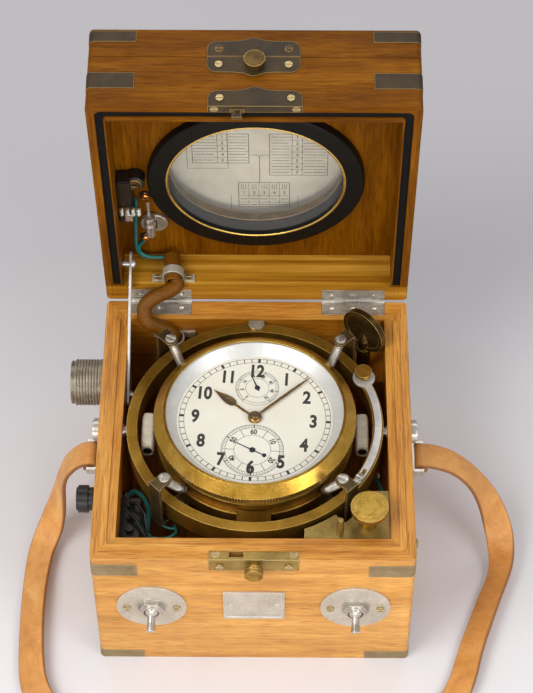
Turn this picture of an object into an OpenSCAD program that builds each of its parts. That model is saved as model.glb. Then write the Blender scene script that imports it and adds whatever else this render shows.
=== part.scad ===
// Marine chronometer in a two-lid oak case, lid open. Millimetres, +Z up, +X right, +Y back.
// Origin: centre of the case's underside.

/* [Case] */
// Width of the oak case
case_w = 196; // [190:1:202]
// Depth of the oak case, front to back
case_d = 200; // [196:1:206]
// Height of the lower case up to its rim
case_h = 115; // [112:1:118]
// Thickness of the case walls
wall = 15; // [14:1:16]
// Thickness of the case floor
floor_t = 12; // [8:1:16]

/* [Lid] */
// Thickness of the middle lid
mid_h = 37; // [36:1:40]
// Thickness of the outer lid
outer_h = 20.6; // [18:0.1:22]
// Angle of the lid in the open rest pose
lid_open = 84; // [60:1:90]
// Depth of the cavity inside the middle lid
cav_d = 26; // [24:1:27]
// Outer radius of the window ring
win_r = 67.6; // [60:0.1:70]

/* [Gimbals] */
// Outer radius of the gimbal ring
ring_ro = 80.6; // [78:0.1:81]
// Inner radius of the gimbal ring
ring_ri = 74; // [73:0.1:75]
// Height of the left and right pivots of the ring
gim_z = 106.75; // [105:0.05:108]
// Height of the front and back pivots of the bowl
bowl_z = 102.3; // [101:0.1:103]
// How far the gimbal centre lies behind the case centre
gim_y = 1.2; // [0:0.1:2]
// Running clearance of the pivots, on the radius
run_c = 0.05; // [0.02:0.01:0.1]

/* [Bowl] */
// Outer radius of the bezel
bez_r = 63.2; // [62:0.1:64]
// Radius of the glass
glass_r = 57.2; // [56:0.1:58]
// Height of the dial face
dial_z = 119.5; // [118:0.1:120]
// Radius of the dial
dial_r = 49; // [48:0.1:50]
// Angle of the dial seen from above
dial_turn = -3; // [-6:0.5:6]
// Distance of the two small dials from the centre
sub_r = 24.2; // [24:0.1:25]

/* [Fittings] */
// Radius of the two switch plates
plate_r = 21.5; // [20:0.1:23]
// Sideways position of the two switches
switch_x = 62.8; // [60:0.1:65]
// Height of the two switches
switch_z = 63; // [60:0.5:66]
// Width of the carrying strap
strap_w = 18; // [16:0.5:20]
// Thickness of the carrying strap
strap_t = 3; // [2.5:0.1:3.5]

/* [Hidden] */
$fn = 48;
hinge_y = case_d / 2 + 0.8;
hinge_z = case_h + 0.3;
rim_z = case_h + 0.6;
top_z = rim_z + mid_h;
out_z = top_z + 0.4;
ring_top = 114;
ring_bot = 99.5;
ins_x = case_w / 2 - wall;
ins_y = case_d / 2 - wall;
arm_az = [45, 135, 225, 315];
arc_r = 77.3;
lug_x = 106;
bar_y = 76.8;
bar_z = rim_z + 12;

// A box given by its low and high corners.
module span(lo, hi) translate(lo) cube(hi - lo);
// Cylinders along each axis; they start at p and run a length l.
module zcyl(p, r, l) translate(p) cylinder(r = r, h = l);
module ycyl(p, r, l) translate(p) rotate([-90, 0, 0]) cylinder(r = r, h = l);
module xcyl(p, r, l) translate(p) rotate([0, 90, 0]) cylinder(r = r, h = l);
// A flat ring or turned ring about +Z.
module ringz(z, ro, ri, h) translate([0, 0, z]) difference() {
  cylinder(r = ro, h = h);
  translate([0, 0, -1]) cylinder(r = ri, h = h + 2);
}
// A round bar between two points.
module bar(p, q, r) {
  v = q - p;
  l = norm(v);
  translate(p) rotate([0, acos(v[2] / l), atan2(v[1], v[0])]) cylinder(r = r, h = l);
}
// A bent round cord through the points given.
module cord(pts, r, n) for (i = [0 : len(pts) - 2]) hull() {
  translate(pts[i]) sphere(r = r, $fn = n);
  translate(pts[i + 1]) sphere(r = r, $fn = n);
}
// The case outline, grown by g, from z0 to z1.
module shell(g, z0, z1) translate([0, 0, z0]) linear_extrude(height = z1 - z0)
  rounded(case_w / 2 + g, case_d / 2 + g, 3 + g);
module rounded(hx, hy, r) {
  translate([-hx + r, -hy]) square([2 * hx - 2 * r, 2 * hy]);
  translate([-hx, -hy + r]) square([2 * hx, 2 * hy - 2 * r]);
  for (sx = [-1, 1]) for (sy = [-1, 1]) translate([sx * (hx - r), sy * (hy - r)]) circle(r = r);
}
// Bands let into the four corners between heights z0 and z1, 28 mm long each way.
module corner_bands(z0, z1, out, in) difference() {
  shell(out, z0, z1);
  shell(in, z0 - 1, z1 + 1);
  for (a = [0, 90]) rotate([0, 0, a]) span([-70, -120, z0 - 2], [70, 120, z1 + 2]);
}
// Poses.
module lid_pose() translate([0, hinge_y, hinge_z]) rotate([-lid_open, 0, 0])
  translate([0, -hinge_y, -hinge_z]) children();
module gim() translate([0, gim_y, 0]) children();
module dialpose() translate([0, gim_y, 0]) rotate([0, 0, dial_turn]) children();

// ---------------------------------------------------------------- case
lock_cx = 0.6;
clamp_z = 100.6;
front_screws = [[-20, 108.5], [21.5, 108.5]];
top_screws = [[-22.5, -96.5], [24.5, -96.5]];
hinge_cx = [-63, 63];
outer_hx = 60;
outer_hy = 102.3;
outer_hz = top_z + 0.2;
module case_hinge_leaf(cx, g) span([cx - 20.5 - g, 89.2 - g, case_h - 1.6], [cx + 20.5 + g, 102, case_h + 4]);
module case_box() color([0.80, 0.58, 0.30]) difference() {
  union() {
    difference() {
      shell(0, 0, case_h);
      span([-ins_x, -ins_y, floor_t], [ins_x, ins_y, case_h + 1]);
    }
    // rounded bead on the rim, left, front and right
    intersection() {
      difference() {
        translate([0, 0, case_h - 0.1]) linear_extrude(height = 1.1) rounded(92.6, 94.2, 4);
        translate([0, 0, case_h - 1]) linear_extrude(height = 3) rounded(88.4, 90, 2);
      }
      span([-100, -100, case_h - 1], [100, 84, case_h + 2]);
    }
    // corner blocks inside: key block, front left shelf
    span([59, 60, floor_t], [ins_x, ins_y, 82]);
    difference() {
      span([-ins_x, -ins_y, 74], [-48, -56, 80]);
      gim() zcyl([0, 0, 60], 91, 40);
      zcyl([-68, -74, 60], 5, 40);
    }
  }
  zcyl([69.8, 71, 66], 5, 40);
  corner_bands(96.3, 108.3, 1, -1);
  corner_bands(0.6, 8.6, 1, -1);
  for (cx = hinge_cx) {
    case_hinge_leaf(cx, 0.05);
    xcyl([cx - 20.5, hinge_y, hinge_z], 2.8, 41);
  }
  // lock plate seat, bolt slot and knob hole
  span([lock_cx - 27.1, -101, 102.9], [lock_cx + 27.1, -99, case_h + 2]);
  span([lock_cx - 27.1, -101, case_h - 1.05], [lock_cx + 27.1, -94.2, case_h + 3]);
  span([-16, -99.3, 98], [-4, -94.4, case_h + 2]);
  ycyl([lock_cx, -101, 109.1], 3.2, 8);
  // gimbal pivots through the side walls
  xcyl([-100, gim_y, gim_z], 4.05, 20);
  xcyl([80, gim_y, gim_z], 4.05, 20);
  for (s = [0, 180]) translate([0, gim_y, gim_z]) rotate([0, 0, s])
    span([-ins_x - 1.1, -15.6, -14.6], [-ins_x + 2, 15.6, 3.1]);
  // switches, connector and fuse through the walls
  for (s = [-1, 1]) ycyl([s * switch_x, -101, switch_z], 6.05, 20);
  xcyl([-100, 63.5, 75], 10.05, 20);
  xcyl([-100, -33, 80], 5.05, 20);
  // screws
  case_screw_places() screw_hole();
  lug_screw_places() screw_hole();
  top_screw_places() screw_hole();
}
module screw_hole() translate([0, 0, -8]) cylinder(r = 1.35, h = 9.5);
module case_screw_places() {
  for (p = front_screws) translate([p[0], -100.6, p[1]]) rotate([90, 0, 0]) children();
  for (s = [-1, 1]) for (e = [-1, 1]) translate([s * switch_x + e * 15.4, -101.6, switch_z - 0.5])
    rotate([90, 0, 0]) children();
  for (e = [-1, 1]) translate([-54 + e * 10.2, ins_y - 1.2, clamp_z]) rotate([90, 0, 0]) children();
  translate([98, -33, 92]) rotate([0, 90, 0]) children();
  translate([98, -86, 99]) rotate([0, 90, 0]) children();
  translate([-98, 78, 92]) rotate([0, -90, 0]) children();
}
module lug_screw_places() for (s = [-1, 1]) for (e = [-6, 6]) translate([s * 101, gim_y + e, 78])
  rotate([0, s * 90, 0]) children();
module top_screw_places() for (p = top_screws) translate([p[0], p[1], case_h]) children();
// A slotted screw whose head lies between heights z0 and z1 over the surface.
module slotted(z0, z1) difference() {
  union() {
    translate([0, 0, z0]) cylinder(r = 2.3, h = z1 - z0);
    translate([0, 0, -6.5]) cylinder(r = 1.3, h = z0 + 6.6);
  }
  translate([-3, -0.35, z1 - 0.4]) cube([6, 0.7, 2]);
}
module case_screws() color([0.62, 0.55, 0.38]) {
  case_screw_places() slotted(0.05, 1.25);
  lug_screw_places() slotted(-0.7, -0.05);
  top_screw_places() slotted(-0.7, -0.05);
  // domed stud on the right side
  translate([98.05, -75, 95]) rotate([0, 90, 0]) {
    cylinder(r = 4.35, h = 1.2);
    translate([0, 0, 1.15]) cylinder(r1 = 3.9, r2 = 2.2, h = 1.4);
  }
}
module case_straps() color([0.52, 0.45, 0.30]) difference() {
  union() {
    corner_bands(96.35, 108.25, 0.3, -0.95);
    corner_bands(0.65, 8.55, 0.3, -0.95);
  }
  translate([98, -86, 99]) rotate([0, 90, 0]) {
    translate([0, 0, -4]) cylinder(r = 1.35, h = 6);
    cylinder(r = 2.35, h = 3);
  }
  translate([98, -75, 95]) rotate([0, 90, 0]) cylinder(r = 4.4, h = 3);
}
module lower_lock_plate() color([0.70, 0.57, 0.28]) difference() {
  union() {
    translate([lock_cx, 0, 0]) intersection() {
      span([-27, -100.6, 103], [27, -99.05, case_h]);
      translate([0, -90, 0]) rotate([90, 0, 0]) linear_extrude(height = 20) {
        translate([-27, 108]) square([54, 12]);
        translate([-22, 103]) square([44, 12]);
        for (s = [-1, 1]) translate([s * 22, 108]) circle(r = 5);
      }
    }
    span([lock_cx - 27, -100.6, case_h - 1], [lock_cx + 27, -94.25, case_h]);
  }
  span([-14.5, -98.6, case_h - 3], [-5.6, -94.6, case_h + 3]);
  ycyl([lock_cx, -104, 109.1], 3.2, 10);
  case_screw_places() translate([0, 0, -4]) cylinder(r = 1.35, h = 6);
  top_screw_places() translate([0, 0, -4]) cylinder(r = 1.35, h = 6);
  top_screw_places() translate([0, 0, -0.75]) cylinder(r = 2.35, h = 2);
}
module switch_plates() color([0.80, 0.79, 0.76]) for (s = [-1, 1]) difference() {
  ycyl([s * switch_x, -101.6, switch_z], plate_r, 1.55);
  ycyl([s * switch_x, -103, switch_z], 6.1, 5);
  case_screw_places() translate([0, 0, -4]) cylinder(r = 1.35, h = 6);
}
module switch_bushings() color([0.66, 0.65, 0.62]) for (s = [-1, 1]) translate([s * switch_x, 0, switch_z]) {
  difference() {
    union() {
      ycyl([0, -106.2, 0], 6, 22);
      ycyl([0, -102.3, 0], 9.2, 0.65);
      translate([0, -102.35, 0]) rotate([90, 0, 0]) cylinder(r = 8.2, h = 2.6, $fn = 6);
      span([-8, -84.9, -10.5], [8, -72, 10.5]);
    }
    ycyl([0, -107, 0], 4.8, 12);
  }
  xcyl([-5.4, -103.5, 0], 0.8, 10.8);
}
module toggle(s) translate([s * switch_x, -103.5, switch_z]) rotate([22, 0, 0]) difference() {
  union() {
    ycyl([0, -11, 0], 2.4, 11.5);
    translate([0, -8.5, 0]) rotate([90, 0, 0]) cylinder(r1 = 2.5, r2 = 3.1, h = 5.2);
    sphere(r = 4.75);
  }
  xcyl([-6, 0, 0], 0.86, 12);
}
module toggle_left() color([0.74, 0.73, 0.70]) toggle(-1);
module toggle_right() color([0.74, 0.73, 0.70]) toggle(1);
module nameplate() color([0.76, 0.75, 0.72]) translate([0.3, 0, 64]) {
  difference() {
    span([-18.8, -101.2, -15], [18.8, -100.05, 15]);
    span([-17, -102, -13.2], [17, -100.8, 13.2]);
  }
  for (s = [-1, 1]) ycyl([s * 14.5, -101.5, 0], 1.5, 0.75);
}
module lower_lock_knob() color([0.60, 0.45, 0.25]) {
  difference() {
    ycyl([lock_cx, -108.6, 109.1], 5.8, 4.9);
    for (y = [-107.4, -105.9]) difference() {
      ycyl([lock_cx, y, 109.1], 6.5, 0.7);
      ycyl([lock_cx, y - 1, 109.1], 5.2, 3);
    }
  }
  ycyl([lock_cx, -103.75, 109.1], 3.1, 7.7);
}
module connector_shell() color([0.50, 0.49, 0.46]) translate([0, 63.5, 75]) difference() {
  union() {
    xcyl([-121.6, 0, 0], 14.2, 23.5);
    for (i = [0 : 7]) xcyl([-118.6 + i * 1.9, 0, 0], 15.2, 1.1);
    xcyl([-103.2, 0, 0], 15.2, 5.1);
    xcyl([-98.2, 0, 0], 10, 14);
  }
  xcyl([-122, 0, 0], 12.6, 16);
}
module connector_insert() color([0.08, 0.08, 0.08]) translate([0, 63.5, 75]) {
  xcyl([-113, 0, 0], 12.5, 6.9);
  for (a = [0 : 60 : 300]) xcyl([-116, 7 * cos(a), 7 * sin(a)], 1.1, 3.1);
  xcyl([-116, 0, 0], 1.1, 3.1);
}
module fuse_base() color([0.10, 0.09, 0.08]) translate([0, -33, 80]) difference() {
  union() {
    xcyl([-101.2, 0, 0], 8, 3.15);
    xcyl([-98.1, 0, 0], 5, 22);
  }
  xcyl([-103, 0, 0], 3.3, 12);
}
module fuse_cap() color([0.05, 0.05, 0.05]) translate([0, -33, 80]) {
  xcyl([-110.8, 0, 0], 8.8, 6.3);
  xcyl([-104.6, 0, 0], 7.4, 3.3);
  xcyl([-112, 0, 0], 7.4, 1.3);
  xcyl([-101.4, 0, 0], 3.2, 7.4);
}
module gimbal_bearings() color([0.66, 0.65, 0.63]) for (s = [0, 180]) translate([0, gim_y, gim_z])
  rotate([0, 0, s]) {
    span([-ins_x - 1.05, -15.5, -14.5], [-ins_x - 0.05, 15.5, 3]);
    xcyl([-98.1, 0, 0], 4, 16);
    xcyl([-82.2, 0, 0], 3, 7.4);
    xcyl([-101.2, 0, 0], 7.4, 3.15);
    xcyl([-102, 0, 0], 6.4, 0.85);
  }
module strap_lugs() color([0.60, 0.58, 0.52]) for (s = [0, 180]) translate([0, gim_y, 78]) rotate([0, 0, s]) {
  difference() {
    span([98.05, -13, -6], [101, 13, 6]);
    for (e = [-6, 6]) {
      xcyl([97, e, 0], 1.35, 6);
      xcyl([100.25, e, 0], 2.35, 3);
    }
  }
  for (e = [-1, 1]) span([100.9, e * 11 - 1, -2.5], [107.6, e * 11 + 1, 2.5]);
  ycyl([lug_x, -11, 0], 1.2, 22);
}
module slab(c, yaw, roll, pitch) translate(c) rotate([0, 0, yaw]) rotate([0, pitch, 0])
  rotate([roll, 0, 0]) cube([0.6, strap_w, strap_t], center = true);
// Each row: x, y, z, heading about Z, slope, lean.
strap_rows = [
  [-106.0, 1.2, 80.8, 180, 0, 0], [-110.5, 1.2, 79.6, 180, 26, 0],
  [-116.0, 1.0, 75.0, 180, 48, 0], [-121.5, 0.5, 67.0, 182, 64, 0], [-125.0, 0.0, 56.0, 188, 78, 0],
  [-127.5, -1.0, 42.0, 200, 80, 0], [-130.5, -3.5, 28.0, 215, 70, 0],
  [-134.5, -8.5, 16.0, 232, 50, 0], [-139.0, -17.0, 8.0, 248, 24, 8],
  [-142.0, -30.0, 6.0, 258, 6, 18], [-143.5, -60.0, 6.6, 266, 0, 28],
  [-142.5, -95.0, 6.6, 272, 0, 28], [-139.0, -122.0, 5.4, 280, 0, 20],
  [-130.0, -139.0, 3.6, 304, 0, 10], [-113.0, -151.0, 2.0, 330, 0, 2],
  [-90.0, -157.0, 1.6, 350, 0, 0], [-50.0, -160.0, 1.6, 358, 0, 0],
  [0.0, -160.5, 1.6, 0, 0, 0], [50.0, -159.0, 1.6, 3, 0, 0],
  [86.0, -155.0, 1.6, 12, 0, 0], [109.0, -147.0, 2.0, 32, 0, -4],
  [124.0, -134.0, 3.4, 54, 0, -12], [132.0, -118.0, 5.4, 68, 0, -24],
  [139.0, -95.0, 6.8, 72, 0, -32], [151.0, -62.0, 7.2, 66, 0, -36],
  [160.0, -38.0, 9.0, 82, -10, -38], [160.5, -20.0, 16.0, 104, -38, -24],
  [156.0, -9.0, 29.0, 128, -60, -8], [149.0, -3.0, 44.0, 150, -62, 0],
  [139.0, 0.0, 60.0, 172, -55, 0], [127.0, 1.2, 72.5, 180, -42, 0],
  [115.0, 1.2, 79.2, 180, -18, 0], [106.0, 1.2, 80.7, 180, 0, 0]];
module carry_strap() color([0.72, 0.48, 0.26]) {
  for (i = [0 : len(strap_rows) - 2]) hull() {
    a = strap_rows[i];
    b = strap_rows[i + 1];
    slab([a[0], a[1], a[2]], a[3], a[5], a[4]);
    slab([b[0], b[1], b[2]], b[3], b[5], b[4]);
  }
  for (s = [-1, 1]) translate([s * lug_x, gim_y - strap_w / 2, 78]) rotate([-90, 0, 0]) difference() {
    cylinder(r = 4.1, h = strap_w, $fn = 32);
    translate([0, 0, -1]) cylinder(r = 1.3, h = strap_w + 2, $fn = 32);
  }
}
module corner_plate() color([0.68, 0.55, 0.28]) {
  difference() {
    span([31, -ins_y + 0.05, 109.3], [ins_x - 0.05, -48, 112]);
    gim() zcyl([0, 0, 100], 83.3, 20);
    gim() rotate([0, 0, -45]) span([70, -12, 100], [91, 12, 120]);
    zcyl([70, -71.5, 100], 3.2, 20);
    span([20, -60, 100], [74, -40, 120]);
  }
  zcyl([52.5, -80, 112], 2.3, 10);
  translate([52.5, -80, 121.9]) cylinder(r1 = 2.3, r2 = 1.5, h = 6);
  zcyl([76, -54, 90], 2, 19.4);
}
module stop_knob() color([0.55, 0.40, 0.20]) translate([70, -71.5, 0]) {
  zcyl([0, 0, 104], 3.1, 9);
  zcyl([0, 0, 112.3], 5.4, 7);
  zcyl([0, 0, 119.2], 3.6, 7);
  zcyl([0, 0, 126], 11.4, 3.6);
  zcyl([0, 0, 129.5], 8.5, 0.8);
}
module winding_key() color([0.50, 0.38, 0.20]) translate([69.8, 71, 0]) {
  difference() {
    zcyl([0, 0, 68], 4.6, 37.5);
    zcyl([0, 0, 67], 2, 12);
  }
  zcyl([0, 0, 103], 5.6, 3);
  rotate([0, 0, -41]) difference() {
    ycyl([0, -2, 121.6], 16, 4);
    for (y = [-3, 1.2]) ycyl([0, y, 121.6], 13.4, 1.8);
  }
  zcyl([0, 0, 105], 4.2, 8);
  translate([0, 0, 112.9]) cylinder(r1 = 4.2, r2 = 1.3, h = 6);
}
module terminal_block() color([0.09, 0.08, 0.08]) {
  span([-ins_x + 0.05, -72, 81], [-70.5, -42, 94]);
  for (y = [-66, -57, -48]) zcyl([-76.5, y, 93.9], 2.4, 2.6);
  cord([[-76.5, -48, 97.8], [-72, -50, 100], [-67.5, -55, 96], [-66.5, -63, 90],
    [-67.5, -72, 82], [-68, -73, 76.5]], 1.1, 8);
  cord([[-76.5, -57, 97.8], [-72, -62, 99], [-66, -71, 93], [-61, -77, 89],
    [-66, -77, 81], [-66.5, -76.5, 76.5]], 1.1, 8);
}
// Knuckles from x0 to x1 about the hinge axis, joined to the leaf at heights z0 to z1.
module knuckle(x0, x1, z0, z1) {
  xcyl([x0, hinge_y, hinge_z], 2.5, x1 - x0);
  span([x0, 98, z0], [x1, hinge_y, z1]);
}
module leaf_holes(z, r1, r2) for (e = [-14, 0, 14]) translate([e, 93.6, z]) cylinder(r1 = r1, r2 = r2, h = 1);
module hinge_leaves_case() color([0.68, 0.66, 0.62]) for (cx = hinge_cx) translate([cx, 0, 0]) difference() {
  union() {
    span([-20.4, 89.3, case_h - 1.55], [20.4, 98.1, case_h + 0.05]);
    for (k = [[-20.4, -12.4], [-4, 4], [12.4, 20.4]]) knuckle(k[0], k[1], case_h - 1.55, case_h + 0.05);
    xcyl([-20.3, hinge_y, hinge_z], 1.2, 40.6);
  }
  leaf_holes(case_h - 0.7, 1, 2.1);
}
module hinge_leaves_lid() color([0.68, 0.66, 0.62]) lid_pose() {
  for (cx = hinge_cx) translate([cx, 0, 0]) difference() {
    union() {
      span([-20.4, 89.3, rim_z - 0.05], [20.4, 98.1, rim_z + 1.55]);
      for (k = [[-12.2, -4.2], [4.2, 12.2]]) knuckle(k[0], k[1], rim_z - 0.05, rim_z + 1.55);
    }
    xcyl([-30, hinge_y, hinge_z], 1.25, 60);
    leaf_holes(rim_z - 0.1, 2.1, 1);
  }
  for (s = [-1, 1]) translate([s * outer_hx, 0, 0]) difference() {
    union() {
      span([-15, 92.1, top_z - 1.2], [15, 99.8, top_z]);
      span([-4.9, 98, top_z - 1.2], [4.9, outer_hy, top_z]);
      xcyl([-4.9, outer_hy, outer_hz], 2, 9.8);
    }
    xcyl([-30, outer_hy, outer_hz], 1.05, 60);
  }
}
module clamp_shape() difference() {
  union() {
    span([-13.8, -1.2, -2.7], [13.8, 0, 2.7]);
    zcyl([0, -5.6, -2.7], 6.9, 5.4);
  }
  zcyl([0, -5.6, -6], 5.8, 12);
  span([-30, 0, -10], [30, 20, 10]);
  for (e = [-1, 1]) ycyl([e * 10.2, -3, 0], 1.35, 6);
}
module case_clamp() color([0.78, 0.77, 0.74]) translate([-54, ins_y - 0.05, clamp_z]) clamp_shape();
module lid_clamp() color([0.78, 0.77, 0.74]) lid_pose() translate([-54.2, ins_y - 0.05 + 0.8, rim_z + 6.4]) clamp_shape();
module cable_sleeve() color([0.46, 0.29, 0.12]) cord([
  [-54.2, 119, 137.98], [-54.2, 100.5, 136.04], [-55.8, 97.5, 135.7], [-60.5, 93.4, 133.4], [-68, 90, 129],
  [-73, 86, 124.8], [-71.5, 80.4, 119.8], [-67.5, 79.2, 116.6], [-61.5, 79.35, 112.6], [-56, 79.35, 109.4],
  [-54, 79.35, 106.4], [-54, 79.35, 84]], 5.4, 16);

// ---------------------------------------------------------------- middle lid
module lid_frame() color([0.66, 0.44, 0.18]) lid_pose() difference() {
  shell(0, rim_z, top_z);
  span([-87, -86, rim_z - 1], [87, ins_y + 0.8, rim_z + cav_d]);
  zcyl([0, 0, rim_z], 62.05, mid_h + 1);
  // gasket groove
  difference() {
    translate([0, 0, rim_z - 1]) linear_extrude(height = 4) rounded(93, 94.8, 4);
    translate([0, 0, rim_z - 2]) linear_extrude(height = 6) rounded(88, 89.4, 2);
    span([-110, 84.4, rim_z - 2], [110, 110, rim_z + 10]);
  }
  for (cx = hinge_cx) {
    span([cx - 20.45, 89.2, rim_z - 1], [cx + 20.45, 101, rim_z + 1.6]);
    xcyl([cx - 20.5, hinge_y, hinge_z], 2.8, 41);
  }
  corner_bands(rim_z + 13.4, rim_z + 25.2, 1, -1);
  // seats of the hook plate and of the upper lock plate
  lid_plate_seat(0.05);
  ycyl([0, -103, 146.8], 3.2, 12.5);
  lid_screw_places() screw_hole();
  rim_screw_places() screw_hole();
  // seats of the outer lid's hinges
  for (s = [-1, 1]) span([s * outer_hx - 15.1, 92, top_z - 1.25], [s * outer_hx + 15.1, 101, top_z + 1]);
}
module lid_plate_seat(g) {
  translate([hook_cx, -99.05 + g, rim_z]) rotate([90, 0, 0]) linear_extrude(height = 3) offset(r = g) ogee(55, hook_h);
  translate([upper_cx, -99.05 + g, top_z]) mirror([0, 0, 1]) rotate([90, 0, 0]) linear_extrude(height = 3)
    offset(r = g) ogee(55, upper_h);
  span([hook_cx - 27.5 - g, -101, rim_z - 1], [hook_cx + 27.5 + g, -95 + g, rim_z + 1.2]);
  span([-14.2, -97.6, rim_z - 1], [-5.4, -93.8, rim_z + 5]);
}
module lid_screw_places() {
  for (x = [-20, 21.5]) translate([x, -100.6, rim_z + 5.9]) rotate([90, 0, 0]) children();
  for (x = upper_screws) translate([x, -100.6, top_z - 6]) rotate([90, 0, 0]) children();
  for (e = [-1, 1]) translate([-54.2 + e * 10.2, ins_y - 0.45, rim_z + 6.4]) rotate([90, 0, 0]) children();
}
module rim_screw_places() for (x = [-23.2, 24.6]) translate([x, -97.6, rim_z]) rotate([180, 0, 0]) children();
module lid_screws() color([0.50, 0.42, 0.26]) lid_pose() {
  lid_screw_places() slotted(0.05, 0.75);
  rim_screw_places() slotted(-0.75, -0.05);
}
// Outline of a lock plate: a bar with round outer corners and a raised centre.
hook_cx = 0.6;
hook_h = 14.8;
upper_cx = -0.6;
upper_h = 14.6;
upper_screws = [-21, 20];
module ogee(w, h) {
  translate([-w / 2, 0]) square([w, h - 8]);
  translate([-w / 2 + 6, 0]) square([w - 12, h - 3]);
  for (s = [-1, 1]) translate([s * (w / 2 - 6), h - 9]) circle(r = 6);
  polygon([[-12, h - 3.01], [-6, h - 2.2], [-2.5, h - 0.8], [0, h], [2.5, h - 0.8], [6, h - 2.2],
    [12, h - 3.01]]);
}
module lid_fittings() color([0.32, 0.26, 0.14]) lid_pose() {
  corner_bands(rim_z + 13.45, rim_z + 25.15, 0.3, -0.95);
  difference() {
    union() {
      translate([hook_cx, -99.1, rim_z]) rotate([90, 0, 0]) linear_extrude(height = 1.5) ogee(55, hook_h);
      span([hook_cx - 27.5, -100.6, rim_z], [hook_cx + 27.5, -95, rim_z + 1.1]);
      span([-13.8, -97.4, rim_z - 1], [-5.8, -95.4, rim_z + 1]);
      span([-11.6, -97.4, rim_z - 5.6], [-7.8, -95.4, rim_z]);
      span([-12.8, -97.4, rim_z - 5.6], [-7.2, -95.4, rim_z - 3.2]);
      translate([upper_cx, -99.1, top_z]) mirror([0, 0, 1]) rotate([90, 0, 0]) linear_extrude(height = 1.5)
        ogee(55, upper_h);
    }
    // plates end flush with the lid's faces
    span([-40, -110, top_z], [40, -98, top_z + 2]);
    span([-40, -110, rim_z - 2], [40, -98, rim_z]);
    ycyl([0, -104, 146.8], 3.2, 10);
    lid_screw_places() translate([0, 0, -4]) cylinder(r = 1.35, h = 6);
    rim_screw_places() translate([0, 0, -4]) cylinder(r = 1.35, h = 6);
    rim_screw_places() translate([0, 0, -0.8]) cylinder(r = 2.35, h = 3);
  }
}
module upper_lock_knob() color([0.36, 0.28, 0.14]) lid_pose() {
  ycyl([0, -106.4, 146.8], 6.3, 3.3);
  ycyl([0, -103.2, 146.8], 3.1, 8);
}
module window_ring() color([0.06, 0.06, 0.06]) lid_pose() rotate_extrude() polygon([[54.5, 135.8],
  [56, 135.2], [66.6, 135.2], [win_r, 136.2], [win_r, 141.55], [62, 141.55], [62, 152.4], [54.5, 152.4],
  [54.5, 146.2], [56.5, 146.2], [56.5, 138.4], [54.5, 138.4]]);
module window_glass() color([0.80, 0.85, 0.85, 0.35]) lid_pose() zcyl([0, 0, 138.7], 56.2, 7.2);
module lid_gasket() color([0.07, 0.07, 0.07]) lid_pose() intersection() {
  difference() {
    translate([0, 0, rim_z + 1.2]) linear_extrude(height = 1.75) rounded(92.9, 94.7, 4);
    translate([0, 0, rim_z]) linear_extrude(height = 6) rounded(88.1, 89.5, 2);
  }
  span([-100, -100, rim_z], [100, 84.2, rim_z + 5]);
}
module lamp_holder() color([0.60, 0.60, 0.58]) lid_pose() {
  zcyl([-65.6, 48, 138.6], 9, 2.95);
  ycyl([-68, 37, 136.2], 2.8, 20);
  ycyl([-68, 41, 136.2], 3.4, 2);
  ycyl([-68, 48, 136.2], 3.6, 3);
  for (p = [[-70, 20], [-72, 65]]) zcyl([p[0], p[1], 140.2], 2.2, 1.35);
  difference() {
    span([-86.9, -6, 130.5], [-77.4, 36, 141.5]);
    span([-86, -5, 129], [-78.3, 35, 134]);
  }
  zcyl([-75.4, -1, 133], 6.4, 8.5);
}
module lid_wires() color([0.12, 0.40, 0.38]) lid_pose() cord([[-76, 21, 138.4], [-76.2, 30, 138.4],
  [-77.5, 54, 138.4], [-78.5, 76, 138.4], [-76, 83, 137.9], [-70, 84.2, 137.6], [-60.6, 81.6, 137]], 1.1, 8);

// ---------------------------------------------------------------- outer lid
module outer_lid() color([0.62, 0.40, 0.16]) lid_pose() difference() {
  shell(0, out_z, out_z + outer_h);
  zcyl([0, 0, out_z - 1], 66, 7.5);
  corner_bands(rim_z + 48.6, out_z + outer_h - 1.2, 1, -1);
  translate([upper_cx, -99, out_z]) rotate([90, 0, 0]) linear_extrude(height = 3) offset(r = 0.05)
    ogee(55, upper_h);
  for (s = [-1, 1]) span([s * outer_hx - 15.1, 92, out_z - 1], [s * outer_hx + 15.1, 101, out_z + 1.25]);
  for (x = upper_screws) ycyl([x, -101, out_z + 5.6], 1.35, 8);
}
module outer_fittings() color([0.30, 0.24, 0.13]) lid_pose() {
  corner_bands(rim_z + 48.65, out_z + outer_h - 1.25, 0.3, -0.95);
  difference() {
    translate([upper_cx, -99.1, out_z]) rotate([90, 0, 0]) linear_extrude(height = 1.5) ogee(55, upper_h);
    span([-40, -110, out_z - 2], [40, -98, out_z]);
    for (x = upper_screws) ycyl([x, -104, out_z + 5.6], 1.35, 8);
  }
  for (x = upper_screws) difference() {
    union() {
      ycyl([x, -101.2, out_z + 5.6], 2.3, 0.55);
      ycyl([x, -100.7, out_z + 5.6], 1.3, 7);
    }
    span([x - 3, -102, out_z + 5.25], [x + 3, -101, out_z + 5.95]);
  }
  // outer hinge leaves, knuckles and pins
  for (s = [-1, 1]) translate([s * outer_hx, 0, 0]) {
    span([-15, 92.1, out_z], [15, 99.8, out_z + 1.2]);
    for (e = [-15, 5]) {
      xcyl([e, outer_hy, outer_hz], 2, 10);
      span([e, 98, out_z], [e + 10, outer_hy, out_z + 1.2]);
    }
    xcyl([-15, outer_hy, outer_hz], 1, 30);
  }
}
module diagram_card() color([0.86, 0.84, 0.78]) lid_pose() zcyl([0, 0, out_z + 5.6], 65.5, 0.8);

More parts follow.
